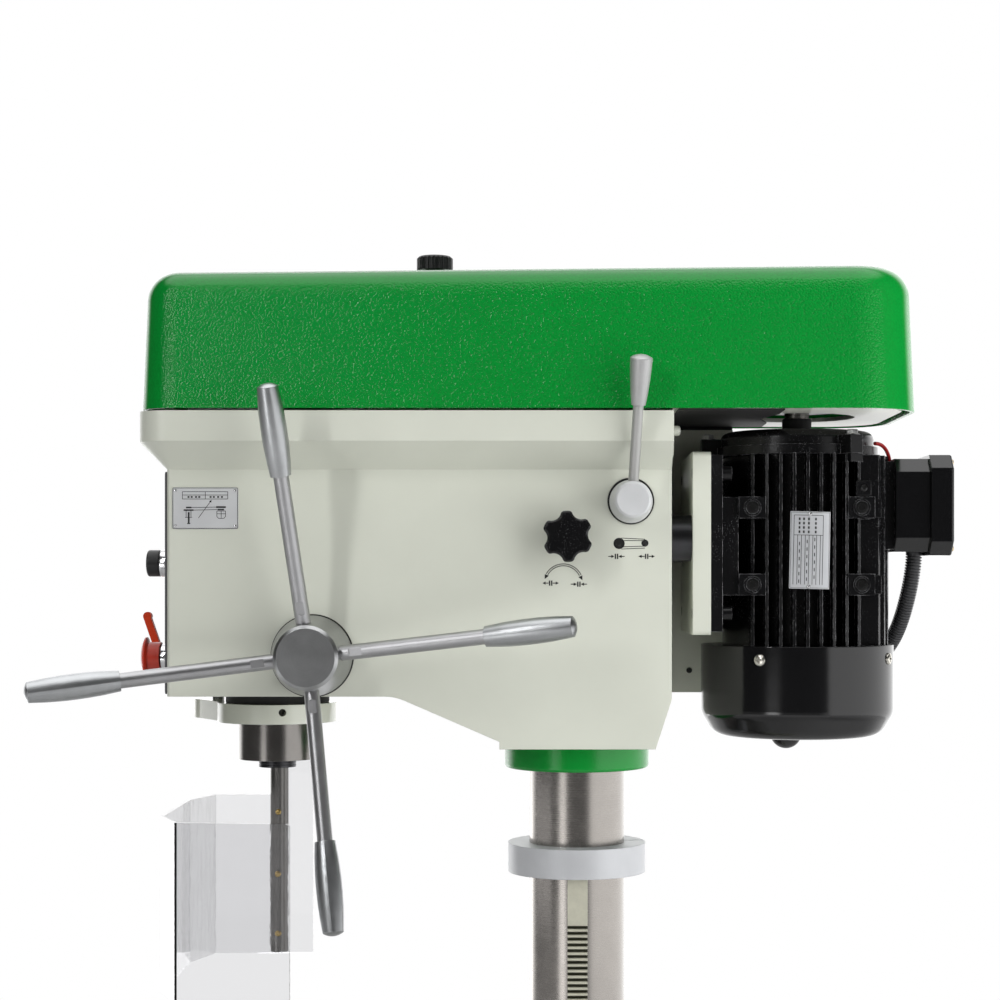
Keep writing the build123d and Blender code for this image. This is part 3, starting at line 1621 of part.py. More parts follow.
def rotor_shaft():
    """Motor shaft with its rotor core."""
    low = fan_cover_low - fan_cover_nose / 2
    body = rod_along_z(shaft_radius, low, pulley_top, motor_x)
    half = rotor_length / 2
    return body + rod_along_z(rotor_radius, motor_mid - half, motor_mid + half, motor_x)


def cooling_fan():
    """Radial fan on the tail of the motor shaft."""
    low = fan_cover_low - fan_cover_nose / 3
    high = tail_low - 4.0
    hub = ring(shaft_radius * 2, shaft_radius + seat_gap, low, high, motor_x)
    disc = ring(fan_radius, shaft_radius * 1.5, high - fan_disc, high, motor_x)
    body = hub + disc
    for step in range(fan_blades):
        half = fan_blade_thickness / 2
        blade_low = max(low, high - fan_blade_height)
        blade = block(
            shaft_radius * 1.5, fan_radius - fan_blade_gap, -half, half, blade_low, high - fan_disc / 3
        )
        body += Pos(motor_x, 0, 0) * Rot(0, 0, 360 * step / fan_blades) * blade
    return body


# Guard
def strip_outline(points, thickness):
    """Closed outline of a folded sheet whose outer side runs through points."""
    inner = []
    for index, here in enumerate(points):
        before = points[max(index - 1, 0)]
        after = points[min(index + 1, len(points) - 1)]
        normals = []
        for start, end in ((before, here), (here, after)):
            run = Vector(end[0] - start[0], end[1] - start[1])
            if run.length > 0:
                normals.append(Vector(-run.Y, run.X).normalized())
        if len(normals) == 2:
            mean = (normals[0] + normals[1]).normalized()
            shift = mean * (thickness / mean.dot(normals[0]))
        else:
            shift = normals[0] * thickness
        inner.append((here[0] + shift.X, here[1] + shift.Y))
    return points + inner[::-1]


def guard_shield():
    """Clear folded sheet round the spindle, with a tab up behind the post."""
    outside = [
        (-guard_rear, guard_half_width),
        (-guard_bend, guard_half_width),
        (-guard_face, guard_front_far),
        (-guard_face, -guard_front_near),
        (-guard_near_bend, -guard_near_bend_aside),
        (-guard_near_rear, -guard_near_rear_aside),
    ]
    outline = strip_outline(outside, guard_sheet)
    body = prism([(x, y, guard_low) for x, y in outline], (0, 0, guard_height))
    inner = guard_half_width - guard_sheet
    top = guard_low + guard_height
    body += block(-guard_tab_ahead, -guard_rear, inner, guard_half_width, top - 1.0, top + guard_tab_height)
    short_edges = body.edges().filter_by(lambda edge: abs(edge.length - guard_sheet) < 0.01)
    near_corners = short_edges.filter_by(lambda edge: edge.center().Y < -guard_near_bend_aside)
    return fillet(near_corners, guard_corner)


def guard_post():
    """Upright bar with a flat for the guard, which turns in the switch box."""
    body = rod_along_z(post_radius, post_low, switch_low + switch_height * 0.75, post_x, post_aside)
    inner = guard_half_width - guard_sheet
    reach = 2 * post_radius
    flat_top = guard_low + guard_height + guard_tab_height + clear_gap
    return body - block(post_x - reach, post_x + reach, inner, inner + reach, post_low, flat_top)


# Rack and table
def rack():
    """Toothed bar beside the column, held between the foot and the ring."""
    toothed_high = ring_bottom - rack_plain
    toothed_low = rack_low + rack_plain
    centres = gap_centres(rack_module, pivot_z, toothed_low, toothed_high)
    edge = toothed_edge(rack_module, rack_pitch_line, centres)
    back = column_radius - 2.0
    corners = [(back, rack_low), (rack_face, rack_low)] + edge + [(rack_face, rack_high), (back, rack_high)]
    half = rack_width / 2
    body = prism([(-half, -depth, z) for depth, z in corners], (rack_width, 0, 0))
    return body - rod_along_z(rack_back, rack_low, rack_high)


def table_bracket():
    """Sleeve on the column with the table's arm, the crank's gear case and a clamp split."""
    low = pivot_z - bracket_height / 2
    high = pivot_z + bracket_height / 2
    body = rod_along_z(sleeve_outer, low, high)
    body += rod_along_x(pivot_radius, -arm_end, 0, 0, pivot_z)
    case_half = gearbox_height / 2
    case = block(-gearbox_front, gearbox_back, -gearbox_out, 0, pivot_z - case_half, pivot_z + case_half)
    body += fillet(case.edges().filter_by(Axis.X), bracket_case_corner)
    lug_end = sleeve_outer + clamp_lug
    lug_z = bracket_height / 4
    body += block(-clamp_lug_half, clamp_lug_half, 0, lug_end, pivot_z - lug_z, pivot_z + lug_z)
    body -= rod_along_z(column_radius + clear_gap, low, high)
    slot_half = rack_width / 2 + clear_gap
    body -= block(-slot_half, slot_half, -rack_face - clear_gap, 0, low, high)
    body -= block(-clamp_slit / 2, clamp_slit / 2, 0, lug_end, low, high)
    trunnion_end = -arm_end + trunnion_length + face_gap
    body -= rod_along_x(trunnion_radius + running_gap, -arm_end, trunnion_end, 0, pivot_z)
    tip = rack_module * (lift_teeth / 2 + 1) + clear_gap
    body -= rod_along_x(tip, -lift_face / 2 - clear_gap, gearbox_back, lift_y, pivot_z)
    body -= rod_along_x(lift_shaft_radius + running_gap, -gearbox_front, 0, lift_y, pivot_z)
    half = clamp_lug_half
    return body - rod_along_x(clamp_bolt_radius + running_gap, -half, half, clamp_y, pivot_z)


def table_crank():
    """Lifting pinion, its shaft and the crank with its handle."""
    wheel = toothed_wheel(rack_module, lift_teeth, lift_face)
    body = Pos(0, lift_y, pivot_z) * Rot(0, 90, 0) * Rot(0, 0, 90) * wheel
    tip = rack_module * (lift_teeth / 2 + 1) + clear_gap - running_gap
    arm_low = sleeve_outer + crank_gap
    arm_high = arm_low + crank_arm_thickness
    body += rod_along_x(lift_shaft_radius, -gearbox_front, arm_low, lift_y, pivot_z)
    body += rod_along_x(tip, lift_face / 2 + 4.0, gearbox_back, lift_y, pivot_z)
    body += rod_along_x(crank_hub_radius, gearbox_back + crank_hub_gap, arm_high, lift_y, pivot_z)
    half = crank_arm_width / 2
    end_z = pivot_z - crank_arm_length
    body += block(arm_low, arm_high, lift_y - half, lift_y + half, end_z, pivot_z)
    body += rod_along_x(half, arm_low, arm_high, lift_y, end_z)
    return body + Pos(arm_high - 0.5, lift_y, end_z) * Rot(0, 90, 0) * solid_grip()


def solid_grip():
    """Crank handle along +Z, swelling at its middle."""
    radius = crank_handle_radius
    length = crank_handle_length
    side = ThreePointArc((radius - 2.0, 0, 0), (radius, 0, length / 2), (radius - 2.0, 0, length))
    outline = [side, Line((radius - 2.0, 0, length), (0, 0, length)), Line((0, 0, length), (0, 0, 0))]
    outline.append(Line((0, 0, 0), (radius - 2.0, 0, 0)))
    return revolve(make_face(outline), Axis.Z)


def table_clamp():
    """Clamp bolt through the split of the bracket with its ball lever."""
    seat = clamp_lug_half + face_gap
    hub_end = seat + clamp_hub_length
    body = rod_along_x(clamp_bolt_radius, -seat, seat, clamp_y, pivot_z)
    body += rod_along_x(clamp_hub_radius, seat, hub_end, clamp_y, pivot_z)
    body += rod_along_x(clamp_hub_radius, -seat - clamp_bolt_radius, -seat, clamp_y, pivot_z)
    lever_x = (seat + hub_end) / 2
    lever_low = pivot_z - clamp_lever_length
    body += rod_along_z(clamp_lever_radius, lever_low, pivot_z, lever_x, clamp_y)
    return body + Pos(lever_x, clamp_y, lever_low) * Sphere(clamp_ball_radius)


def table():
    """Slotted table with the trunnion on which it tilts."""
    centre_x = spindle_x
    low = table_top - table_thickness
    plan = Pos(centre_x, 0, low) * RectangleRounded(table_length, table_width, table_corner)
    body = extrude(plan, amount=table_thickness)
    x_low = centre_x - table_length / 2
    x_high = centre_x + table_length / 2
    for step in range(slot_count):
        y = (step - (slot_count - 1) / 2) * slot_spacing
        neck = slot_width / 2
        foot = slot_spread / 2
        neck_low = table_top - slot_depth
        body -= block(x_low, x_high, y - neck, y + neck, neck_low, table_top)
        body -= block(x_low, x_high, y - foot, y + foot, neck_low - slot_foot, neck_low)
    boss_back = -arm_end - face_gap
    boss_front = boss_back - table_boss_length
    body += rod_along_x(pivot_radius, boss_front, boss_back, 0, pivot_z)
    web = pivot_radius * 0.8
    body += block(boss_front, boss_back, -web, web, pivot_z, low + 1.0)
    return body + rod_along_x(trunnion_radius, boss_back, -arm_end + trunnion_length, 0, pivot_z)


# Front controls
def selector_knob():
    """Speed selector knob with its collar and stem, made pointing to the front."""
    place = facing_front(panel_x - face_gap, -controls_aside, head_bottom + selector_rise)
    knob_low = selector_collar
    knob = rod_along_z(selector_radius, knob_low, knob_low + selector_depth)
    knob = fillet(knob.edges().filter_by(GeomType.CIRCLE).sort_by(Axis.Z)[-1], 2.0)
    collar = rod_along_z(selector_radius - 1.0, 0, knob_low)
    return place * (knob + collar + rod_along_z(stem_radius, -stem_inside, 0))


def e_stop_button():
    """Mushroom stop button, hollow behind round its stem."""
    place = facing_front(panel_x, -controls_aside, head_bottom + stop_rise)
    low = stop_standoff
    points = [
        (0, -stem_inside),
        (stem_radius, -stem_inside),
        (stem_radius, low + stop_skirt_depth),
        (stop_skirt_bore, low + stop_skirt_depth),
        (stop_skirt_bore, low),
        (stop_body_radius, low),
        (stop_body_radius, low + stop_body),
        (stop_radius, low + stop_body + stop_head * 0.3),
        (stop_radius, low + stop_body + stop_head * 0.6),
        (stop_radius * 0.75, low + stop_body + stop_head),
        (0, low + stop_body + stop_head),
    ]
    return place * turned(points)


def start_paddle():
    """Paddle lever on a cross pin in front of the panel."""
    pin_x = panel_x - paddle_out
    pin_z = head_bottom + paddle_rise
    half = paddle_width / 2
    radius = paddle_thickness / 2
    blade = block(-radius, radius, -half, half, 0, paddle_length - paddle_tip_radius)
    blade += rod_along_y(radius, -half, half, 0, 0)
    tip_x = paddle_tip_radius - radius
    blade += rod_along_y(paddle_tip_radius, -half, half, tip_x, paddle_length - paddle_tip_radius)
    reach = half + clear_gap + paddle_ear
    blade += rod_along_y(paddle_pin_radius, -reach, reach, 0, 0)
    return Pos(pin_x, paddle_aside, pin_z) * Rot(0, -paddle_tilt, 0) * blade


PARTS = [
    base_plate, column_foot, foot_bolts, column, head_casting, head_collar, rack_ring, belt_tray,
    front_panel, electrical_box, spring_housing, return_spring, cover_hinge_pins, guard_switch_box,
    pulley_bearings, drive_belt, quill_bumper, quill, quill_collar, depth_rod, depth_nuts,
    quill_bearings, spindle, spindle_nut, spindle_pulley, drive_sleeve, motor_plate, slide_bars,
    motor_foot, motor_housing, motor_endshields, stator, fan_cover, motor_bolts, terminal_box,
    terminal_box_lid, conduit, rotor_shaft, motor_pulley, cooling_fan, pinion_shaft, feed_hub,
    feed_arms, feed_grips, tension_hub, tension_rod, tension_grip, lock_knob, belt_cover, cover_knob,
    guard_post, guard_shield, rack, table_bracket, table_crank, table_clamp, table, selector_knob,
    e_stop_button, start_paddle,
]


def main():
    """Write one STEP file for each piece."""
    os.makedirs("parts", exist_ok=True)
    for make in PARTS:
        shape = make()
        if isinstance(shape, list):
            shape = Compound(children=[piece for piece in shape])
        shape.label = make.__name__
        export_step(shape, f"parts/{make.__name__}.step")


main()
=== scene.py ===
"""Looks of a floor-standing pillar drill: finishes for its nodes, small trim as meshes, camera and light."""

import json
import logging
import math
from dataclasses import dataclass
from enum import Enum
from typing import Any, Optional, Sequence, Union

import bmesh
import bpy
from mathutils import Matrix, Vector
from mathutils.bvhtree import BVHTree


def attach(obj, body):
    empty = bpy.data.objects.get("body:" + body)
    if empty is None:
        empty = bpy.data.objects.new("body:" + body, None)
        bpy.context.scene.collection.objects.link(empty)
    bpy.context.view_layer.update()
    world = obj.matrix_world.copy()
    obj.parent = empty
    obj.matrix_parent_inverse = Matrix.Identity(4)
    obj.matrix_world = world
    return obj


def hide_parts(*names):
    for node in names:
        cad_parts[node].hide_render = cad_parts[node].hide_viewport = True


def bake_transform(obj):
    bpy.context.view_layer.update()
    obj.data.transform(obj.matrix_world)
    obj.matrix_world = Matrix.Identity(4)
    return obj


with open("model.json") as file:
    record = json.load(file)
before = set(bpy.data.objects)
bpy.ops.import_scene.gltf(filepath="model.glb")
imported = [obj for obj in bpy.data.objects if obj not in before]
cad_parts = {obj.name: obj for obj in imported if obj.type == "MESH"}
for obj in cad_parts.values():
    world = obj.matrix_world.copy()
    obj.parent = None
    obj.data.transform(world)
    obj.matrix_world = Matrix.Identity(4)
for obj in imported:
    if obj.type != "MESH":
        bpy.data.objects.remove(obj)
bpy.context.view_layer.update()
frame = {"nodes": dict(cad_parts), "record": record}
MM = 0.001
X_AXIS = (1.0, 0.0, 0.0)
Y_AXIS = (0.0, 1.0, 0.0)
Z_AXIS = (0.0, 0.0, 1.0)
ORIGIN = (0.0, 0.0, 0.0)
WHITE = (1.0, 1.0, 1.0, 1.0)
log = logging.getLogger("pillar_drill")

Colour = tuple[float, float, float]
Points = Sequence[tuple[float, float]]


class Value:
    """A shader value whose arithmetic adds Math nodes to its graph."""

    def __init__(self, graph: "Graph", socket: Optional[bpy.types.NodeSocket]) -> None:
        """Keeps the graph and the socket that gives the value, if there is one."""
        self.graph = graph
        self.socket = socket

    def __add__(self, other: "Input") -> "Value":
        """Sum."""
        return self.graph.maths("ADD", self, other)

    def __radd__(self, other: "Input") -> "Value":
        """Sum with a number on the left."""
        return self.graph.maths("ADD", other, self)

    def __sub__(self, other: "Input") -> "Value":
        """Difference."""
        return self.graph.maths("SUBTRACT", self, other)

    def __rsub__(self, other: "Input") -> "Value":
        """Difference from a number on the left."""
        return self.graph.maths("SUBTRACT", other, self)

    def __mul__(self, other: "Input") -> "Value":
        """Product."""
        return self.graph.maths("MULTIPLY", self, other)

    def __rmul__(self, other: "Input") -> "Value":
        """Product with a number on the left."""
        return self.graph.maths("MULTIPLY", other, self)

    def larger(self, other: "Input") -> "Value":
        """The larger of the two values."""
        return self.graph.maths("MAXIMUM", self, other)

    def step(self, low: float, high: float) -> "Value":
        """Smooth rise from 0 at low to 1 at high."""
        sockets = {"Value": self, "From Min": low, "From Max": high}
        return self.graph.node("ShaderNodeMapRange", {"interpolation_type": "SMOOTHSTEP"}, sockets)


Input = Union[Value, float, Sequence[float]]


class Graph:
    """The node tree of one material or of the world."""

    def __init__(self, tree: bpy.types.NodeTree) -> None:
        """Empties the tree."""
        self.tree = tree
        self.tree.nodes.clear()

    def node(self, kind: str, settings: dict[str, Any], sockets: dict[Any, Input], output: Any = 0) -> Value:
        """Adds one node.

        Args:
            kind: Blender's name of the node's type.
            settings: properties that are set before the sockets.
            sockets: values or links by socket name or number.
            output: name or number of the output to give back.

        Returns:
            The chosen output, or an empty value for a node that ends the graph.
        """
        node = self.tree.nodes.new(kind)
        for name, setting in settings.items():
            setattr(node, name, setting)
        for key, given in sockets.items():
            if isinstance(given, Value):
                self.tree.links.new(given.socket, node.inputs[key])
            else:
                node.inputs[key].default_value = given
        return Value(self, node.outputs[output] if node.outputs else None)

    def maths(self, operation: str, first: Input, second: Input) -> Value:
        """One Math node."""
        return self.node("ShaderNodeMath", {"operation": operation}, {0: first, 1: second})

    def vector_maths(self, operation: str, first: Input, second: Input, output: str = "Vector") -> Value:
        """One Vector Math node."""
        return self.node("ShaderNodeVectorMath", {"operation": operation}, {0: first, 1: second}, output)

    def along(self, where: Value, axis: Sequence[float]) -> Value:
        """Distance along an axis."""
        return self.vector_maths("DOT_PRODUCT", where, axis, "Value")

    def length(self, where: Value) -> Value:
        """Distance from the origin."""
        return self.vector_maths("LENGTH", where, ORIGIN, "Value")

    def place(self) -> Value:
        """Rest coordinates in the shared frame, in metres."""
        return self.node("ShaderNodeTexCoord", {}, {}, "Object")

    def outward(self) -> Value:
        """Outward direction of the surface in the shared frame."""
        return self.node("ShaderNodeTexCoord", {}, {}, "Normal")

    def stretched(self, where: Value, scale: Sequence[float]) -> Value:
        """Coordinates scaled along each axis."""
        return self.vector_maths("MULTIPLY", where, scale)

    def noise(self, where: Value, size: float, detail: float = 2.0, roughness: float = 0.5) -> Value:
        """Noise from 0 to 1 whose lumps are about size metres across."""
        sockets = {"Vector": where, "Scale": 1.0 / size, "Detail": detail, "Roughness": roughness}
        return self.node("ShaderNodeTexNoise", {}, sockets)

    def lines(self, along: Value, pitch: float) -> Value:
        """Fine parallel marks along one distance, pitch metres apart."""
        sockets = {"W": along, "Scale": 1.0 / pitch, "Detail": 3.0, "Roughness": 0.6}
        return self.node("ShaderNodeTexNoise", {"noise_dimensions": "1D"}, sockets)

    def cells(self, where: Value, size: float) -> Value:
        """Distance from the middle of cells that are about size metres across."""
        return self.node("ShaderNodeTexVoronoi", {"feature": "F1"}, {"Vector": where, "Scale": 1.0 / size})

    def mix(self, share: Input, first: Input, second: Input) -> Value:
        """Colour from first at share 0 to second at share 1."""
        sockets = {0: share, 6: opaque(first), 7: opaque(second)}
        return self.node("ShaderNodeMix", {"data_type": "RGBA"}, sockets, 2)

    def rounded(self, radius: float) -> Value:
        """Surface direction with edges rounded to radius metres."""
        return self.node("ShaderNodeBevel", {"samples": 4}, {"Radius": radius})

    def bump(self, height: Value, depth: float, normal: Optional[Value] = None) -> Value:
        """Surface direction with a relief.

        Args:
            height: the relief.
            depth: how deep it is, in metres.
            normal: direction that it is laid on, if not the surface's own.

        Returns:
            The direction.
        """
        sockets: dict[Any, Input] = {"Height": height, "Distance": depth, "Strength": 1.0}
        if normal is not None:
            sockets["Normal"] = normal
        return self.node("ShaderNodeBump", {}, sockets)

    def edges(self, radius: float) -> Value:
        """Finds outer edges.

        Args:
            radius: width of an edge in metres.

        Returns:
            About 1 on outer edges and 0 on flat faces.
        """
        flat = self.node("ShaderNodeNewGeometry", {}, {}, "Normal")
        rounded = self.rounded(radius)
        likeness = self.vector_maths("DOT_PRODUCT", flat, rounded, "Value")
        return (1.0 - likeness).step(0.02, 0.25)

    def flatness(self) -> Value:
        """Tells flat sides from corners.

        Returns:
            About 1 on faces square to the machine and 0 on rounded corners.
        """
        normal = self.outward()
        most: Input = 0.0
        for axis in (X_AXIS, Y_AXIS, Z_AXIS):
            share = self.along(normal, axis)
            most = share.larger(-1.0 * share).larger(most)
        return most.step(0.84, 0.97)

    def surface(self, sockets: dict[str, Input]) -> None:
        """Principled surface with these sockets, joined to the output."""
        shader = self.node("ShaderNodeBsdfPrincipled", {}, sockets)
        self.node("ShaderNodeOutputMaterial", {}, {"Surface": shader})


def opaque(colour: Input) -> Input:
    """Adds alpha to a colour.

    Args:
        colour: three numbers, or a colour that needs no alpha.

    Returns:
        The colour with alpha.
    """
    if isinstance(colour, Value) or len(colour) == 4:
        return colour
    return (*colour, 1.0)


def tinted(colour: Colour, share: float) -> Colour:
    """The colour made lighter or darker."""
    return (colour[0] * share, colour[1] * share, colour[2] * share)


class Lay(Enum):
    """How the marks of a tool run over a metal face."""

    BLASTED = "no direction"
    ROUND_UPRIGHT = "rings round an upright axis"
    ROUND_CROSSWAYS = "rings round an axis across the machine"
    DRAWN_UPRIGHT = "streaks along an upright bar"
    PLANED = "straight marks across a table"


@dataclass(frozen=True)
class Finish:
    """Base of the finishes: each makes one material."""

    name: str
    colour: Colour

    def material(self) -> bpy.types.Material:
        """Makes the material.

        Returns:
            The finished material.
        """
        made = bpy.data.materials.new(self.name)
        made.use_nodes = True
        self.paint(Graph(made.node_tree))
        return made

    def paint(self, graph: Graph) -> None:
        """Adds the nodes of this finish.

        Args:
            graph: the material's graph.
        """
        raise NotImplementedError


@dataclass(frozen=True)
class Enamel(Finish):
    """Sprayed paint on metal, with orange peel, slight clouding and edges of another colour: rubbed wear, and
    on the black paints partly painted edge highlights.
    """

    roughness: float = 0.35
    peel: float = 2.2 * MM
    peel_depth: float = 0.035 * MM
    clouding: float = 0.06
    edge: float = 1.2 * MM
    edge_wear_and_highlight: float = 0.0
    edge_wear_and_highlight_colour: Colour = (0.5, 0.5, 0.5)
    dust: float = 0.0
    coat: float = 0.0
    coat_roughness: float = 0.08
    specular: float = 0.5
    cloud_size: float = 70 * MM
    speck_size: float = 0.9 * MM
    settled_size: float = 25 * MM
    dust_colour: Colour = (0.45, 0.45, 0.46)
    patch_size: float = 6 * MM

    def paint(self, graph: Graph) -> None:
        """Adds the nodes of this finish.

        Args:
            graph: the material's graph.
        """
        where = graph.place()
        clouds = graph.noise(where, self.cloud_size, 4.0)
        peel = graph.noise(where, self.peel, 2.0)
        low, high = tinted(self.colour, 1 - self.clouding), tinted(self.colour, 1 + self.clouding)
        colour = graph.mix(clouds, low, high)
        roughness = self.roughness + 0.12 * (clouds - 0.5)
        if self.dust:
            specks = graph.noise(where, self.speck_size, 1.0).step(0.66, 0.74)
            settled = graph.noise(where, self.settled_size, 3.0).step(0.4, 0.7)
            dusty = specks * settled * self.dust
            colour = graph.mix(dusty, colour, self.dust_colour)
            roughness = roughness + 0.4 * dusty
        # Edges turn toward another colour in patches: wear on the cream iron, and on the black paints partly
        # wear and partly painted edge highlights.
        if self.edge_wear_and_highlight:
            patches = graph.noise(where, self.patch_size, 3.0).step(0.35, 0.65)
            worn_and_highlit_edges = graph.edges(self.edge * 0.7) * patches * self.edge_wear_and_highlight
            colour = graph.mix(worn_and_highlit_edges, colour, self.edge_wear_and_highlight_colour)
        normal = graph.bump(peel, self.peel_depth, graph.rounded(self.edge))
        graph.surface(
            {
                "Base Color": colour,
                "Roughness": roughness,
                "Normal": normal,
                "Coat Weight": self.coat,
                "Coat Roughness": self.coat_roughness,
                "Specular IOR Level": self.specular,
            }
        )


@dataclass(frozen=True)
class GrainedMoulding(Finish):
    """Plastic moulding with a pebbled leather grain or a fine etched one, its creases between pebbles painted
    darker as shade.
    """

    roughness: float = 0.4
    grain: float = 2.4 * MM
    grain_depth: float = 0.5 * MM
    edge: float = 0.8 * MM
    specular: float = 0.5
    scuffs: float = 0.0
    smooth_corners: bool = False
    cloud_size: float = 90 * MM
    scratch_size: float = 22 * MM
    scratch_stretch: tuple[float, float, float] = (1.0, 1.0, 9.0)

    def paint(self, graph: Graph) -> None:
        """Adds the nodes of this finish.

        Args:
            graph: the material's graph.
        """
        where = graph.place()
        pebbles = graph.cells(where, self.grain)
        crease = graph.noise(where, self.grain * 0.6, 3.0)
        height = 0.06 * crease - pebbles * pebbles
        if self.smooth_corners:
            height = height * graph.flatness()
        clouds = graph.noise(where, self.cloud_size, 3.0)
        colour = graph.mix(clouds, tinted(self.colour, 0.93), tinted(self.colour, 1.07))
        # Painted shade: the creases between pebbles are darker, so the pebble tops look lit.
        colour = graph.mix(pebbles.step(0.35, 0.75) * 0.35, colour, tinted(self.colour, 0.7))
        roughness = self.roughness + 0.1 * (crease - 0.5)
        if self.scuffs:
            drawn = graph.stretched(where, self.scratch_stretch)
            scratch = graph.noise(drawn, self.scratch_size, 5.0, 0.7).step(0.68, 0.74)
            colour = graph.mix(scratch * self.scuffs, colour, tinted(self.colour, 0.35))
            roughness = roughness + 0.15 * scratch
        graph.surface(
            {
                "Base Color": colour,
                "Roughness": roughness,
                "Normal": graph.bump(height, self.grain_depth, graph.rounded(self.edge)),
                "Specular IOR Level": self.specular,
            }
        )


@dataclass(frozen=True)
class WorkedMetal(Finish):
    """Bare or plated metal with the marks of its tool."""

    roughness: float = 0.3
    lay: Lay = Lay.BLASTED
    axis: tuple[float, float] = (0.0, 0.0)
    pitch: float = 0.5 * MM
    depth: float = 0.01 * MM
    streaks: float = 0.12
    edge: float = 0.6 * MM
    cloud_size: float = 18 * MM
    drawn_out: float = 0.02

    def marks(self, graph: Graph, where: Value) -> Value:
        """Tool marks from 0 to 1.

        Args:
            graph: the material's graph.
            where: coordinates in the shared frame.

        Returns:
            The marks.
        """
        if self.lay is Lay.ROUND_UPRIGHT:
            return graph.lines(graph.along(where, Z_AXIS), self.pitch)
        if self.lay is Lay.ROUND_CROSSWAYS:
            centre = (self.axis[0] * MM, 0.0, self.axis[1] * MM)
            spoke = graph.stretched(graph.vector_maths("SUBTRACT", where, centre), (1.0, 0.0, 1.0))
            return graph.lines(graph.length(spoke) + graph.along(where, Y_AXIS), self.pitch)
        if self.lay is Lay.DRAWN_UPRIGHT:
            return graph.noise(graph.stretched(where, (1.0, 1.0, self.drawn_out)), self.pitch, 3.0)
        if self.lay is Lay.PLANED:
            return graph.noise(graph.stretched(where, (1.0, self.drawn_out, 1.0)), self.pitch, 3.0)
        return graph.noise(where, self.pitch, 2.0)

    def paint(self, graph: Graph) -> None:
        """Adds the nodes of this finish.

        Args:
            graph: the material's graph.
        """
        where = graph.place()
        marks = self.marks(graph, where)
        clouds = graph.noise(where, self.cloud_size, 5.0, 0.6)
        tone = 0.5 * marks + 0.5 * clouds
        low, high = tinted(self.colour, 1 - self.streaks), tinted(self.colour, 1 + self.streaks)
        graph.surface(
            {
                "Base Color": graph.mix(tone.step(0.25, 0.75), low, high),
                "Metallic": 1.0,
                "Roughness": self.roughness + 0.16 * (marks - 0.5) + 0.1 * (clouds - 0.5),
                "Normal": graph.bump(marks, self.depth, graph.rounded(self.edge)),
            }
        )


@dataclass(frozen=True)
class CastSkin(Finish):
    """Sandy cast iron, bare or lightly machined."""

    roughness: float = 0.5
    metallic: float = 0.8
    sand: float = 1.6 * MM
    depth: float = 0.08 * MM
    stain_size: float = 40 * MM
    edge: float = 1.0 * MM

    def paint(self, graph: Graph) -> None:
        """Adds the nodes of this finish.

        Args:
            graph: the material's graph.
        """
        where = graph.place()
        sand = graph.noise(where, self.sand, 4.0, 0.6)
        stain = graph.noise(where, self.stain_size, 4.0)
        graph.surface(
            {
                "Base Color": graph.mix(stain, tinted(self.colour, 0.85), tinted(self.colour, 1.15)),
                "Metallic": self.metallic,
                "Roughness": self.roughness + 0.2 * (stain - 0.5) + 0.15 * (sand - 0.5),
                "Normal": graph.bump(sand, self.depth, graph.rounded(self.edge)),
            }
        )


@dataclass(frozen=True)
class RackSteel(Finish):
    """Worn pale steel of the rack, darker in the gaps between its teeth."""

    tip: float = -57.6 * MM
    root: float = -56.0 * MM
    stain_size: float = 7 * MM
    pit_depth: float = 0.05 * MM
    edge: float = 0.4 * MM
    gap_colour: Colour = (0.03, 0.03, 0.015)

    def paint(self, graph: Graph) -> None:
        """Adds the nodes of this finish.

        Args:
            graph: the material's graph.
        """
        where = graph.place()
        depth = graph.along(where, Y_AXIS)
        stain = graph.noise(where, self.stain_size, 5.0, 0.6)
        # Darker colour from the tooth tips down into the gaps between the teeth.
        gap_darkening = depth.step(self.tip, self.root)
        pale = graph.mix(stain, tinted(self.colour, 0.8), tinted(self.colour, 1.15))
        graph.surface(
            {
                "Base Color": graph.mix(gap_darkening, pale, self.gap_colour),
                "Metallic": 0.25,
                "Roughness": 0.4 + 0.2 * (stain - 0.5),
                "Normal": graph.bump(stain, self.pit_depth, graph.rounded(self.edge)),
            }
        )


@dataclass(frozen=True)
class ClearSheet(Finish):
    """Clear sheet with faint wiping marks, the slight waves of a bent sheet, and its front and back faces
    tinted darker as a painted grazing reflection.
    """

    wipe_size: float = 4 * MM
    wave_size: float = 9 * MM
    wave_depth: float = 0.06 * MM
    grazing_shade_tint: float = 0.55
    refraction: float = 1.45

    def paint(self, graph: Graph) -> None:
        """Adds the nodes of this finish.

        Args:
            graph: the material's graph.
        """
        where = graph.place()
        wiped = graph.noise(graph.stretched(where, (1.0, 1.0, 0.1)), self.wipe_size, 4.0).step(0.45, 0.8)
        waves = graph.noise(graph.stretched(where, (1.0, 1.0, 0.35)), self.wave_size, 3.0)
        ahead = graph.along(graph.outward(), X_AXIS)
        # Painted reflection: faces that look along X, seen at a grazing angle, are tinted darker, more on the
        # wiping marks.
        painted_grazing_shade = ahead.larger(-1.0 * ahead).step(0.2, 0.9) * (0.35 + 0.4 * wiped)
        graph.surface(
            {
                "Base Color": graph.mix(painted_grazing_shade, self.colour, tinted(self.colour, self.grazing_shade_tint)),
                "Roughness": 0.02 + 0.05 * wiped,
                "Normal": graph.bump(waves, self.wave_depth),
                "Transmission Weight": 1.0,
                "IOR": self.refraction,
            }
        )


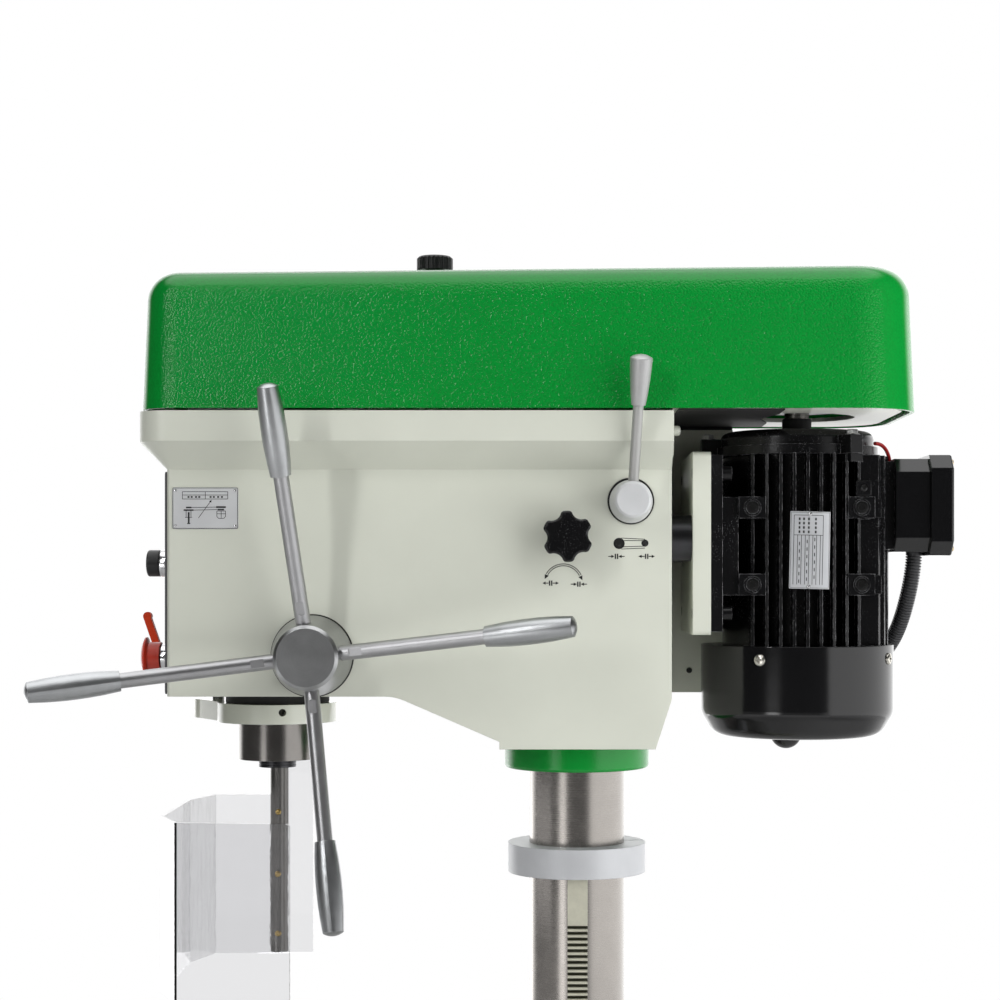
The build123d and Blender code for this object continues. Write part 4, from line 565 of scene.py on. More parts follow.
@dataclass(frozen=True)
class Ink(Finish):
    """Printed mark, a little worn."""

    patch_size: float = 1.5 * MM
    worn_colour: Colour = (0.25, 0.25, 0.25)

    def paint(self, graph: Graph) -> None:
        """Adds the nodes of this finish.

        Args:
            graph: the material's graph.
        """
        where = graph.place()
        worn = graph.noise(where, self.patch_size, 4.0).step(0.5, 0.9)
        colour = graph.mix(0.35 * worn, self.colour, self.worn_colour)
        graph.surface({"Base Color": colour, "Roughness": 0.5 + 0.2 * worn})


CREAM = (0.70, 0.72, 0.63)
GREEN = (0.0015, 0.27, 0.032)
BLACK = (0.004, 0.004, 0.0045)
STEEL = (0.325, 0.305, 0.285)
BARE_ALLOY_AND_EDGE_HIGHLIGHT = (0.5, 0.5, 0.52)
FEED_AXIS = (-246.5, 1335.0)
TENSION_AXIS = (49.0, 1478.5)

SLOT_FINISHES: dict[str, Finish] = {
    finish.name: finish
    for finish in (
        Enamel("cream_paint", CREAM, roughness=0.32),
        Enamel("cream_iron", CREAM, peel=3.0 * MM, peel_depth=0.12 * MM, edge_wear_and_highlight=0.5),
        Enamel("green_paint", GREEN, roughness=0.2, peel=1.6 * MM, peel_depth=0.09 * MM, specular=0.4),
        GrainedMoulding("green_cover", GREEN, roughness=0.15, grain=2.0 * MM, grain_depth=0.45 * MM,
                        specular=0.35, scuffs=0.2, smooth_corners=True),
        WorkedMetal("ground_steel", STEEL, roughness=0.26, lay=Lay.ROUND_UPRIGHT),
        WorkedMetal("dark_steel", (0.07, 0.07, 0.075), roughness=0.35),
        WorkedMetal("zinc_steel", (0.40, 0.40, 0.40), roughness=0.3, pitch=0.3 * MM),
        CastSkin("cast_grey", (0.56, 0.57, 0.59), metallic=0.2, roughness=0.45),
        WorkedMetal("machined_iron", (0.36, 0.36, 0.35), roughness=0.34, lay=Lay.PLANED),
        WorkedMetal("satin_alloy", (0.42, 0.43, 0.44), roughness=0.36, pitch=0.35 * MM),
        WorkedMetal("pulley_alloy", (0.58, 0.59, 0.60), lay=Lay.ROUND_UPRIGHT),
        # The black motor paints lighten their outer edges partly as painted edge highlights.
        Enamel("motor_alloy", BLACK, roughness=0.24, peel=1.2 * MM, peel_depth=0.05 * MM, dust=0.3,
               edge=1.0 * MM, edge_wear_and_highlight=1.0, edge_wear_and_highlight_colour=BARE_ALLOY_AND_EDGE_HIGHLIGHT, specular=0.3),
        Enamel("black_paint", BLACK, roughness=0.26, peel=1.6 * MM, peel_depth=0.1 * MM, dust=0.45,
               edge=1.0 * MM, edge_wear_and_highlight=1.0, edge_wear_and_highlight_colour=BARE_ALLOY_AND_EDGE_HIGHLIGHT, specular=0.35),
        Enamel("black_panel", (0.09, 0.09, 0.095), roughness=0.4),
        Enamel("black_gloss", BLACK, roughness=0.13, peel=9 * MM, peel_depth=0.03 * MM, dust=0.03),
        GrainedMoulding("black_plastic", BLACK, roughness=0.4, grain=0.8 * MM, grain_depth=0.06 * MM),
        GrainedMoulding("conduit_plastic", (0.05, 0.05, 0.053), roughness=0.35, grain=0.8 * MM,
                        grain_depth=0.03 * MM),
        GrainedMoulding("black_rubber", (0.012, 0.012, 0.012), roughness=0.7, grain=0.7 * MM,
                        grain_depth=0.05 * MM),
        GrainedMoulding("red_plastic", (0.58, 0.04, 0.017), roughness=0.34, grain=0.7 * MM,
                        grain_depth=0.02 * MM),
        ClearSheet("clear_plastic", (0.82, 0.82, 0.83)),
    )
}
NODE_FINISHES: dict[str, Finish] = {
    "feed_hub": WorkedMetal("turned_feed_hub", (0.42, 0.425, 0.43), roughness=0.34,
                            lay=Lay.ROUND_CROSSWAYS, axis=FEED_AXIS),
    "feed_arms": WorkedMetal("satin_arms", (0.42, 0.42, 0.43), roughness=0.4, pitch=0.3 * MM),
    "tension_hub": CastSkin("pale_alloy", (0.66, 0.67, 0.68), metallic=0.2, sand=0.5 * MM, depth=0.01 * MM),
    "tension_rod": CastSkin("dull_rod", (0.44, 0.44, 0.43), metallic=0.6, sand=0.6 * MM, depth=0.01 * MM),
    "tension_grip": CastSkin("dull_grip", (0.48, 0.48, 0.48), metallic=0.6, sand=0.6 * MM, depth=0.01 * MM),
    "quill": WorkedMetal("ground_quill", (0.20, 0.19, 0.18), roughness=0.2, lay=Lay.ROUND_UPRIGHT),
    "lock_knob": Enamel("speckled_black", BLACK, roughness=0.2, peel=1.6 * MM, peel_depth=0.12 * MM,
                        dust=0.15),
    "rack": RackSteel("rack_steel", (0.60, 0.59, 0.48)),
    "quill_collar": Enamel("cream_gloss", CREAM, roughness=0.2, coat=0.6),
    "start_paddle": GrainedMoulding("orange_red", (0.85, 0.065, 0.014), roughness=0.5, grain=0.7 * MM,
                                    grain_depth=0.02 * MM, specular=0.2),
    "guard_post": WorkedMetal("drawn_guard_post", (0.16, 0.155, 0.15), roughness=0.32,
                              lay=Lay.DRAWN_UPRIGHT),
}
CHROME = WorkedMetal("chrome", (0.62, 0.62, 0.63), roughness=0.14, streaks=0.03, pitch=4 * MM,
                     depth=0.0005 * MM)
PLATE = CastSkin("plate_alloy", (0.66, 0.67, 0.68), roughness=0.4, metallic=0.2, sand=0.4 * MM,
                 depth=0.004 * MM)
NAMEPLATE = CastSkin("nameplate_alloy", (0.56, 0.57, 0.59), roughness=0.36, metallic=0.3, sand=0.4 * MM,
                     depth=0.004 * MM)
BRASS = WorkedMetal("brass", (0.55, 0.40, 0.16), roughness=0.3)
SCREW = WorkedMetal("screw_steel", (0.62, 0.60, 0.54), roughness=0.28)
BLACK_SCREW = WorkedMetal("black_screw", (0.06, 0.06, 0.06), roughness=0.3)
BLACK_INK = Ink("black_ink", (0.006, 0.006, 0.006))
WHITE_INK = Ink("white_ink", (0.80, 0.80, 0.78))
RED_LEAD = GrainedMoulding("red_lead", (0.32, 0.01, 0.01), grain=0.8 * MM, grain_depth=0.02 * MM)


class Palette:
    """Materials that are made once and shared."""

    def __init__(self) -> None:
        """Starts with nothing made."""
        self.made: dict[str, bpy.types.Material] = {}

    def take(self, finish: Finish) -> bpy.types.Material:
        """The material of a finish, made on first use.

        Args:
            finish: the finish.

        Returns:
            Its material.
        """
        if finish.name not in self.made:
            self.made[finish.name] = finish.material()
        return self.made[finish.name]

    def dress_nodes(self) -> None:
        """Gives every node of the frame its finish."""
        for subpart in frame["record"]["subparts"]:
            node, slot = subpart["node"], subpart["material_slot"]
            finish = NODE_FINISHES.get(node, SLOT_FINISHES[slot])
            mesh = frame["nodes"][node].data
            mesh.materials.clear()
            mesh.materials.append(self.take(finish))
            log.info("%s dressed as %s", node, finish.name)


PALETTE = Palette()


class Side(Enum):
    """Which way a trim piece faces: its outward direction and its own upright."""

    NEAR = ((0, -1, 0), (0, 0, 1))
    FAR = ((0, 1, 0), (0, 0, 1))
    FRONT = ((-1, 0, 0), (0, 0, 1))
    REAR = ((1, 0, 0), (0, 0, 1))
    UP = ((0, 0, 1), (0, 1, 0))


def facing(point: Sequence[float], outward: Sequence[float], upright: Sequence[float] = (0, 0, 1)) -> Matrix:
    """Place whose own Z points outward and Y upright.

    Args:
        point: the place's origin, in millimetres.
        outward: direction of its Z.
        upright: direction that its Y comes closest to.

    Returns:
        The place.
    """
    z_axis = Vector(outward).normalized()
    x_axis = Vector(upright).cross(z_axis).normalized()
    y_axis = z_axis.cross(x_axis)
    return Matrix.Translation(Vector(point)) @ Matrix((x_axis, y_axis, z_axis)).transposed().to_4x4()


def on_side(point: Sequence[float], side: Side) -> Matrix:
    """Place at a point, in millimetres, that faces one side of the machine."""
    return facing(point, *side.value)


class Surface:
    """Finds where a trim piece sits on a node."""

    trees: dict[str, BVHTree] = {}

    @classmethod
    def seat(cls, node: str, start: Sequence[float], side: Side) -> Matrix:
        """Place on the node under a point outside it.

        Args:
            node: name of the node that carries the piece.
            start: point outside the node, in millimetres.
            side: side that the piece faces; the search runs the other way.

        Returns:
            Place on the surface, with its own Z along the surface's outward direction.
        """
        if node not in cls.trees:
            mesh = frame["nodes"][node].data
            vertices = [vertex.co / MM for vertex in mesh.vertices]
            cls.trees[node] = BVHTree.FromPolygons(vertices, [list(face.vertices) for face in mesh.polygons])
        outward, upright = side.value
        hit, normal, _, _ = cls.trees[node].ray_cast(Vector(start), -Vector(outward))
        if hit is None:
            raise ValueError(f"nothing of {node} lies under {start}")
        if normal.dot(Vector(outward)) < 0:
            normal = -normal
        return facing(hit, normal, upright)


SINK = 0.2
LEAST_RADIUS = 0.01


def circle(radius: float, height: float, count: int = 24) -> list[Vector]:
    """Ring of points round the local Z axis."""
    turns = [2 * math.pi * step / count for step in range(count)]
    return [Vector((radius * math.cos(turn), radius * math.sin(turn), height)) for turn in turns]


def hexagon(across: float, height: float, count: int = 24) -> list[Vector]:
    """Hexagon as a ring of points.

    Args:
        across: width across its flats.
        height: level of the ring.
        count: number of points.

    Returns:
        The ring.
    """
    points = []
    for step in range(count):
        turn = 2 * math.pi * step / count
        off = (turn + math.pi / 6) % (math.pi / 3) - math.pi / 6
        radius = across / 2 / math.cos(off)
        points.append(Vector((radius * math.cos(turn), radius * math.sin(turn), height)))
    return points


def cross(arm: float, half_width: float, height: float, count: int = 48) -> list[Vector]:
    """Cross-shaped ring of points, as in the recess of a screw.

    Args:
        arm: reach of each arm.
        half_width: half of an arm's width.
        height: level of the ring.
        count: number of points.

    Returns:
        The ring.
    """
    points = []
    least = 1e-6
    for step in range(count):
        turn = 2 * math.pi * step / count
        along, aside = max(abs(math.cos(turn)), least), max(abs(math.sin(turn)), least)
        reach = max(min(arm / along, half_width / aside), min(arm / aside, half_width / along))
        points.append(Vector((reach * math.cos(turn), reach * math.sin(turn), height)))
    return points


class Form:
    """A mesh that is built up in millimetres of the shared frame."""

    def __init__(self) -> None:
        """Starts empty."""
        self.mesh = bmesh.new()

    def skin(self, rings: Sequence[Sequence[Vector]], place: Matrix, closed: bool = False) -> "Form":
        """Closed skin over rings of points of the same count.

        Args:
            rings: the rings, in the place's own coordinates.
            place: where they go.
            closed: whether the last ring joins the first, instead of both being capped.

        Returns:
            This form.
        """
        made = [[self.mesh.verts.new(place @ point) for point in ring] for ring in rings]
        pairs = list(zip(made, made[1:] + made[:1])) if closed else list(zip(made, made[1:]))
        for first, second in pairs:
            for index in range(len(first)):
                after = (index + 1) % len(first)
                self.mesh.faces.new((first[index], first[after], second[after], second[index]))
        if not closed:
            self.mesh.faces.new(made[0])
            self.mesh.faces.new(made[-1])
        return self

    def turned(self, profile: Points, place: Matrix, count: int = 40, closed: bool = False) -> "Form":
        """Skin turned about the place's Z axis through (radius, height) points."""
        rings = [circle(max(radius, LEAST_RADIUS), height, count) for radius, height in profile]
        return self.skin(rings, place, closed)

    def slab(self, outline: Points, low: float, high: float, place: Matrix) -> "Form":
        """Plate between two heights with the given outline."""
        return self.skin([[Vector((x, y, z)) for x, y in outline] for z in (low, high)], place)

    def ribbon(self, line: Points, width: float, low: float, high: float, place: Matrix) -> "Form":
        """Raised line through points.

        Args:
            line: the points.
            width: width of the line.
            low: level of its underside.
            high: level of its top.
            place: where it goes.

        Returns:
            This form.
        """
        bottom, top = Vector((0.0, 0.0, low)), Vector((0.0, 0.0, high))
        path = [Vector((x, y, 0.0)) for x, y in line]
        rings = []
        for index, point in enumerate(path):
            ahead = path[min(index + 1, len(path) - 1)] - path[max(index - 1, 0)]
            aside = Vector((-ahead.y, ahead.x, 0.0)).normalized() * (width / 2)
            left, right = point - aside, point + aside
            rings.append([left + bottom, right + bottom, right + top, left + top])
        return self.skin(rings, place)

    def finish(self, name: str, body: Optional[str], finish: Finish, slot: Optional[str] = None,
               bevel: float = 0.0, sharp: float = 35.0) -> bpy.types.Object:
        """Turns the form into a piece, which rides on a body or stays where it is.

        Args:
            name: name of the piece.
            body: body that it moves with, or None for a piece that stays where it is.
            finish: its finish.
            slot: not used.
            bevel: width of the rounded edges in millimetres.
            sharp: angle in degrees from which an edge stays sharp.

        Returns:
            The new object.
        """
        bmesh.ops.recalc_face_normals(self.mesh, faces=self.mesh.faces)
        bmesh.ops.scale(self.mesh, vec=(MM, MM, MM), verts=self.mesh.verts)
        for face in self.mesh.faces:
            face.smooth = True
        for edge in self.mesh.edges:
            edge.smooth = edge.is_manifold and edge.calc_face_angle(0.0) < math.radians(sharp)
        mesh = bpy.data.meshes.new(name)
        self.mesh.to_mesh(mesh)
        self.mesh.free()
        mesh.materials.append(PALETTE.take(finish))
        piece = bpy.data.objects.new(name, mesh)
        bpy.context.scene.collection.objects.link(piece)
        if bevel:
            rounding = piece.modifiers.new("edges", "BEVEL")
            rounding.width = bevel * MM
            rounding.segments = 2
            rounding.limit_method = "ANGLE"
            rounding.angle_limit = math.radians(sharp)
        if body:
            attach(piece, body)
        log.info("%s rides on %s", name, body)
        return piece


def rectangle(left: float, right: float, low: float, high: float) -> list[tuple[float, float]]:
    """Outline of a rectangle between its limits."""
    return [(left, low), (right, low), (right, high), (left, high)]


def rounded_rectangle(width: float, height: float, radius: float) -> list[tuple[float, float]]:
    """Outline of a rectangle with rounded corners, round the origin.

    Args:
        width: its size along X.
        height: its size along Y.
        radius: radius of its corners.

    Returns:
        The outline.
    """
    steps = 5
    points = []
    for quarter, (x_side, y_side) in enumerate(((1, 1), (-1, 1), (-1, -1), (1, -1))):
        centre_x, centre_y = x_side * (width / 2 - radius), y_side * (height / 2 - radius)
        for step in range(steps + 1):
            turn = math.pi / 2 * (quarter + step / steps)
            points.append((centre_x + radius * math.cos(turn), centre_y + radius * math.sin(turn)))
    return points


@dataclass(frozen=True)
class Fastener:
    """Heads of screws, bolts and rivets, made on a place's own Z axis and let in a little."""

    radius: float
    height: float

    def pan(self, form: Form, place: Matrix) -> None:
        """Domed screw head with a cross recess.

        Args:
            form: form that takes the head.
            place: where the head sits.
        """
        r, h = self.radius, self.height
        arm, half, count = 0.55 * r, 0.14 * r, 48
        dome = [(r, -SINK), (r, 0.35 * h), (0.9 * r, 0.72 * h), (0.72 * r, 0.93 * h)]
        rings = [circle(radius, height, count) for radius, height in dome]
        form.skin([*rings, cross(arm, half, h, count), cross(0.7 * arm, 0.8 * half, 0.35 * h, count)], place)

    def cap(self, form: Form, place: Matrix) -> None:
        """Cap head with a hexagon socket.

        Args:
            form: form that takes the head.
            place: where the head sits.
        """
        r, h = self.radius, self.height
        socket = 1.15 * r
        rings = [circle(r, -SINK), circle(r, 0.9 * h), circle(0.94 * r, h), hexagon(socket, h),
                 hexagon(socket, 0.35 * h)]
        form.skin(rings, place)

    def hexagonal(self, form: Form, place: Matrix) -> None:
        """Hexagon head on a washer.

        Args:
            form: form that takes the head.
            place: where the washer sits.
        """
        r, h = self.radius, self.height
        bore, rim, washer = 0.9 * r, 1.35 * r, 0.16 * h
        form.turned([(bore, -SINK), (rim, -SINK), (rim, washer), (bore, washer)], place)
        form.skin([hexagon(2 * r, washer), hexagon(2 * r, 0.85 * h), circle(0.95 * r, h)], place)

    def rivet(self, form: Form, place: Matrix) -> None:
        """Plain domed rivet.

        Args:
            form: form that takes the rivet.
            place: where it sits.
        """
        r, h = self.radius, self.height
        steps = [(r * math.cos(turn), h * math.sin(turn)) for turn in (0, 0.4, 0.8, 1.2, 1.5)]
        form.turned([(r, -SINK), *steps], place, 20)


PRINT = 0.12


def arrow(form: Form, place: Matrix, tip: tuple[float, float], way: int, length: float) -> None:
    """Small printed arrow along the place's X axis.

    Args:
        form: form that takes the arrow.
        place: place on the printed face.
        tip: point of the arrow.
        way: 1 for an arrow along X and -1 for one against it.
        length: length of the arrow with its head.
    """
    x, y = tip
    head, half, thin = 2.9, 1.5, 0.8
    back, tail = x - way * head, x - way * length
    form.slab([(x, y), (back, y + half), (back, y - half)], 0.0, PRINT, place)
    form.ribbon([(back, y), (tail, y)], thin, 0.0, PRINT, place)


@dataclass
class HeadTrim:
    """Plates, signs, black shade rings and sheets, and stops on and round the head, in millimetres."""

    beyond: float = -300.0
    plate_centre: tuple[float, float] = (-345.8, 1471.9)
    plate_size: tuple[float, float] = (61.4, 38.8)
    plate_thickness: float = 0.8
    plate_corner: float = 2.5
    rivet_inset: float = 3.0
    border_inset: float = 0.7
    line_width: float = 0.5
    grid_columns: tuple[float, ...] = (-21.2, 0.1, 20.9)
    grid_rows: tuple[float, ...] = (15.3, 12.2, 8.5)
    grid_marks: tuple[float, ...] = (-15.5, -12.5, -8.5, -5.5, 5.0, 8.0, 12.0, 15.5)
    belt_sign: tuple[float, float] = (50.1, 1439.2)
    knob_sign: tuple[float, float] = (-10.4, 1408.8)
    near_face: float = -92.0
    # Black rings round the hub bases stand in for the shaded gap between the hubs and the head.
    feed_shade_ring: tuple[float, float] = (28.5, 38.6)
    tension_shade_ring: tuple[float, float] = (17.0, 21.7)
    shade_ring_thickness: float = 2.3
    stop_start: tuple[float, float, float] = (300.0, -62.0, 1546.0)
    plug_start: tuple[float, float, float] = (115.7, 60.0, 1313.4)
    # Black sheet under the tray and black block over the cable duct: painted shade where the tray's underside
    # and the gap lie in shade.
    shade_sheet_box: tuple[float, float, float, float] = (92.0, 190.0, -112.0, 100.0)
    shade_sheet_low: float = 1561.6
    shade_sheet_thickness: float = 1.2
    notch_aside: float = 50.0
    notch_depth: float = 12.0
    duct_shade_block_box: tuple[float, float, float, float] = (92.0, 160.0, 96.0, 124.0)
    duct_shade_block_heights: tuple[float, float] = (1557.8, 1563.2)

    def near(self, x: float, z: float) -> Matrix:
        """Place on the head's near side."""
        return Surface.seat("head_casting", (x, self.beyond, z), Side.NEAR)

    def data_plate(self) -> None:
        """Riveted plate with its sign."""
        place = self.near(*self.plate_centre)
        width, height = self.plate_size
        thick = self.plate_thickness
        outline = rounded_rectangle(width, height, self.plate_corner)
        Form().slab(outline, -0.05, thick, place).finish("data_plate", "frame", PLATE, bevel=0.25)
        rivets = Form()
        for x in (-1, 1):
            for y in (-1, 1):
                corner = (x * (width / 2 - self.rivet_inset), y * (height / 2 - self.rivet_inset), thick)
                Fastener(1.5, 0.9).rivet(rivets, place @ Matrix.Translation(corner))
        rivets.finish("data_plate_rivets", "frame", CHROME)
        self.plate_sign(place @ Matrix.Translation((0, 0, thick)))

    def plate_sign(self, top: Matrix) -> None:
        """Printed grid, border and drawing of the drive on the data plate.

        Args:
            top: place in the middle of the plate's face.
        """
        columns, rows = self.grid_columns, self.grid_rows
        lines = [[(columns[0], y), (columns[-1], y)] for y in rows]
        lines += [[(x, rows[0]), (x, rows[-1])] for x in columns]
        belt_and_pointer = [[(-12.8, 0.6), (10.1, 1.0)], [(-10.8, -1.8), (11.7, -1.3)],
                            [(-6.3, -9.1), (5.0, 6.4)]]
        motor = [[(10.8, -2.6), (18.8, -2.6)], [(10.8, -2.6), (10.8, -7.8)], [(18.8, -2.6), (18.8, -7.8)],
                 [(10.8, -7.8), (12.4, -9.5)], [(18.8, -7.8), (17.2, -9.5)], [(12.4, -9.5), (17.2, -9.5)],
                 [(10.8, -5.2), (18.8, -5.2)], [(14.8, -2.6), (14.8, -9.5)]]
        spindle = [[(-17.7, -2.4), (-17.7, -8.5)], [(-13.2, -2.4), (-13.2, -8.5)],
                   [(-18.8, -8.5), (-12.1, -8.5)]]
        edge_x, edge_y = (size / 2 - self.border_inset for size in self.plate_size)
        border = rectangle(-edge_x, edge_x, -edge_y, edge_y)
        lines += belt_and_pointer + motor + spindle
        lines += [list(pair) for pair in zip(border, border[1:] + border[:1])]
        ink = Form()
        for line in lines:
            ink.ribbon(line, self.line_width, 0.0, PRINT, top)
        # Middle and half sizes of each pulley step, of the spindle and of its tool.
        bars = [(-15.3, 0.6, 2.5, 0.7), (-15.4, -1.8, 4.6, 0.7), (14.6, 1.0, 4.5, 0.8),
                (14.6, -1.3, 2.9, 0.7), (-15.3, -9.0, 0.8, 5.4), (-15.3, -14.2, 1.4, 0.5)]
        bars += [(x, 10.4, 0.9, 0.8) for x in self.grid_marks]
        for x, y, half_width, half_height in bars:
            outline = rectangle(x - half_width, x + half_width, y - half_height, y + half_height)
            ink.slab(outline, 0.0, PRINT, top)
        pointer_tip = [(5.9, 7.7), (3.6, 6.4), (5.6, 5.0)]
        ink.slab(pointer_tip, 0.0, PRINT, top)
        ink.finish("data_plate_sign", "frame", BLACK_INK)

    def lever_signs(self) -> None:
        """Printed signs: belt on two pulleys with tightening arrows, and a turning arrow under the knob."""
        place = self.near(*self.belt_sign)
        ink = Form()
        for x, y, radius in ((-12.0, 0.0, 5.2), (12.0, 0.3, 3.3)):
            ink.turned([(radius, 0.0), (radius, PRINT)], place @ Matrix.Translation((x, y, 0)))
        for y_left, y_right in ((5.0, 3.9), (2.6, 2.6), (-3.1, -2.5), (-5.2, -4.3)):
            ink.ribbon([(-10.0, y_left), (12.0, y_right)], 0.6, 0.0, PRINT, place)
        self.pair(ink, place, (-14.4, -12.0), -1)
        self.pair(ink, place, (13.6, -12.0), 1)
        below = self.near(*self.knob_sign)
        self.turning_arrow(ink, below)
        self.pair(ink, below, (-15.0, -6.4), 1)
        self.pair(ink, below, (11.2, -7.4), -1)
        ink.finish("lever_signs", "frame", BLACK_INK)

    @staticmethod
    def turning_arrow(ink: Form, place: Matrix) -> None:
        """Double arc with an arrow head at each end.

        Args:
            ink: form that takes the arrow.
            place: middle of the sign.
        """
        centre_x, centre_y, head_radius = -3.2, -6.9, 17.4
        turns = [math.radians(-60 + 124 * step / 28) for step in range(29)]
        for radius in (16.6, 18.3):
            arc = [(radius * math.sin(turn) + centre_x, radius * math.cos(turn) + centre_y) for turn in turns]
            ink.ribbon(arc, 0.75, 0.0, PRINT, place)
        end = math.radians(66)
        for way in (-1, 1):
            x = way * head_radius * math.sin(end) + centre_x + 0.2
            y = head_radius * math.cos(end) + centre_y - 0.6 * way
            tip, outer, inner = (x + way * 1.6, y - 3.4), (x + way * 1.5, y + 1.2), (x - way * 2.2, y - 0.4)
            ink.slab([tip, outer, inner], 0.0, PRINT, place)

    @staticmethod
    def pair(ink: Form, place: Matrix, centre: tuple[float, float], way: int) -> None:
        """Two bars, each with an arrow.

        Args:
            ink: form that takes the bars and arrows.
            place: middle of the sign.
            centre: middle of the pair.
            way: 1 for arrows that point away from the bars and -1 for arrows towards them.
        """
        x, y = centre
        length = 5.7
        for side in (-1, 1):
            ink.ribbon([(x + side * 1.0, y - 2.4), (x + side * 1.0, y + 2.4)], 1.25, 0.0, PRINT, place)
            inner, outer = x + side * 1.9, x + side * 7.6
            if way > 0:
                arrow(ink, place, (outer, y), side, length)
            else:
                arrow(ink, place, (inner, y), -side, length)

    def hub_shade_rings(self) -> None:
        """Black rings behind the feed hub and the tension lever, set in the gap where the hubs' shadow falls
        on the head, as painted shade.
        """
        shade_rings = Form()
        for (x, z), (inner, outer) in ((FEED_AXIS, self.feed_shade_ring), (TENSION_AXIS, self.tension_shade_ring)):
            place = on_side((x, self.near_face, z), Side.NEAR)
            top = self.shade_ring_thickness
            profile = [(inner, -0.1), (outer, -0.1), (outer, top - 0.6), (outer - 0.6, top), (inner, top)]
            shade_rings.turned(profile, place, 64, True)
        shade_rings.finish("hub_shade_rings", "frame", SLOT_FINISHES["black_rubber"], "black_rubber")

    def tray_stop(self) -> None:
        """Pale stop on the head's back under the tray."""
        place = Surface.seat("head_casting", self.stop_start, Side.REAR)
        profile = [(4.8, -SINK), (4.8, 7.5), (4.2, 9.2), (2.4, 10.0)]
        Form().turned(profile, place, 28).finish(
            "tray_stop", "frame", SLOT_FINISHES["cream_paint"], "cream_paint")

    def box_plug(self) -> None:
        """Black plug in the near face of the electrical box."""
        place = Surface.seat("electrical_box", self.plug_start, Side.NEAR)
        profile = [(2.9, -SINK), (2.9, 0.6), (2.4, 1.1), (1.2, 1.2)]
        Form().turned(profile, place, 28).finish(
            "box_plug", "frame", SLOT_FINISHES["black_rubber"], "black_rubber")

    def shade_sheets(self) -> None:
        """Black sheet under the belt tray and black block between tray and cable duct, both put where shade
        falls, as painted shade.
        """
        front, back, near, far = self.shade_sheet_box
        notch = [(back, near + self.notch_aside), (back - self.notch_depth, 0.0),
                 (back, far - self.notch_aside)]
        outline = [(front, near), (back, near), *notch, (back, far), (front, far)]
        Form().slab(outline, self.shade_sheet_low, self.shade_sheet_low + self.shade_sheet_thickness, Matrix.Identity(4)).finish(
            "belt_shade_sheet", "frame", SLOT_FINISHES["black_rubber"], "black_rubber")
        outline = rectangle(*self.duct_shade_block_box)
        Form().slab(outline, *self.duct_shade_block_heights, Matrix.Identity(4)).finish(
            "duct_shade_block", "frame", SLOT_FINISHES["black_rubber"], "black_rubber")

    def build(self) -> None:
        """Makes all of the head's trim."""
        self.box_plug()
        self.shade_sheets()
        self.data_plate()
        self.lever_signs()
        self.hub_shade_rings()
        self.tray_stop()


@dataclass
class FrontControls:
    """Bezels, screws and marks round the switches on the nose, in millimetres."""

    panel_front: float = -384.0
    aside: float = -55.0
    selector_z: float = 1421.0
    selector_ring: tuple[float, float] = (11.9, 13.0)
    stop_z: float = 1332.5
    stop_ring: tuple[float, float] = (7.6, 12.4)
    bezel: float = 9.6
    screw_aside: float = 74.0
    screw_levels: tuple[float, ...] = (1308.0, 1399.0, 1497.0)
    tick_reach: float = 16.2
    tick_lift: float = 12.5
    tick_size: tuple[float, float] = (9.0, 1.6)

    def build(self) -> None:
        """Makes bezels, panel screws and the selector's tick."""
        bezels = Form()
        for z, (inner, outer) in ((self.selector_z, self.selector_ring), (self.stop_z, self.stop_ring)):
            place = on_side((self.panel_front, self.aside, z), Side.FRONT)
            depth = self.bezel
            profile = [(inner, 0.0), (outer, 0.0), (outer, depth - 0.8), (outer - 0.4, depth), (inner, depth)]
            bezels.turned(profile, place, 48, True)
        bezels.finish("switch_bezels", "frame", CHROME)
        screws = Form()
        for y in (-self.screw_aside, self.screw_aside):
            for z in self.screw_levels:
                Fastener(3.0, 1.6).pan(screws, on_side((self.panel_front, y, z), Side.FRONT))
        screws.finish("panel_screws", "frame", BLACK_SCREW, "dark_steel")
        spot = (self.panel_front - self.tick_reach, self.aside, self.selector_z + self.tick_lift)
        outline = rounded_rectangle(*self.tick_size, 0.5)
        tick = Form().slab(outline, -0.4, PRINT, on_side(spot, Side.UP))
        tick.finish("selector_tick", "selector", WHITE_INK)


@dataclass
class CoverTrim:
    """Plate and screws on the front of the belt cover, in millimetres."""

    beyond: float = -600.0
    plate_width: float = 144.0
    plate_height: float = 80.0
    plate_corner: float = 5.0
    plate_z: float = 1608.0
    plate_thickness: float = 3.2
    screw_aside: float = 60.0
    upper_screw_z: float = 1656.0
    lower_screw_z: float = 1579.0

    def build(self) -> None:
        """Makes the front plate, two screws on it and two above it."""
        place = Surface.seat("belt_cover", (self.beyond, 0.0, self.plate_z), Side.FRONT)
        outline = rounded_rectangle(self.plate_width, self.plate_height, self.plate_corner)
        plate = Form().slab(outline, -SINK, self.plate_thickness, place)
        plate.finish("cover_plate", "cover", PLATE, bevel=0.6)
        screws = Form()
        for y in (-self.screw_aside, self.screw_aside):
            for z, lift in ((self.upper_screw_z, 0.0), (self.lower_screw_z, self.plate_thickness)):
                spot = Surface.seat("belt_cover", (self.beyond, y, z), Side.FRONT)
                Fastener(3.4, 3.2).pan(screws, spot @ Matrix.Translation((0.0, 0.0, lift)))
        screws.finish("cover_plate_screws", "cover", BLACK_SCREW, "dark_steel")


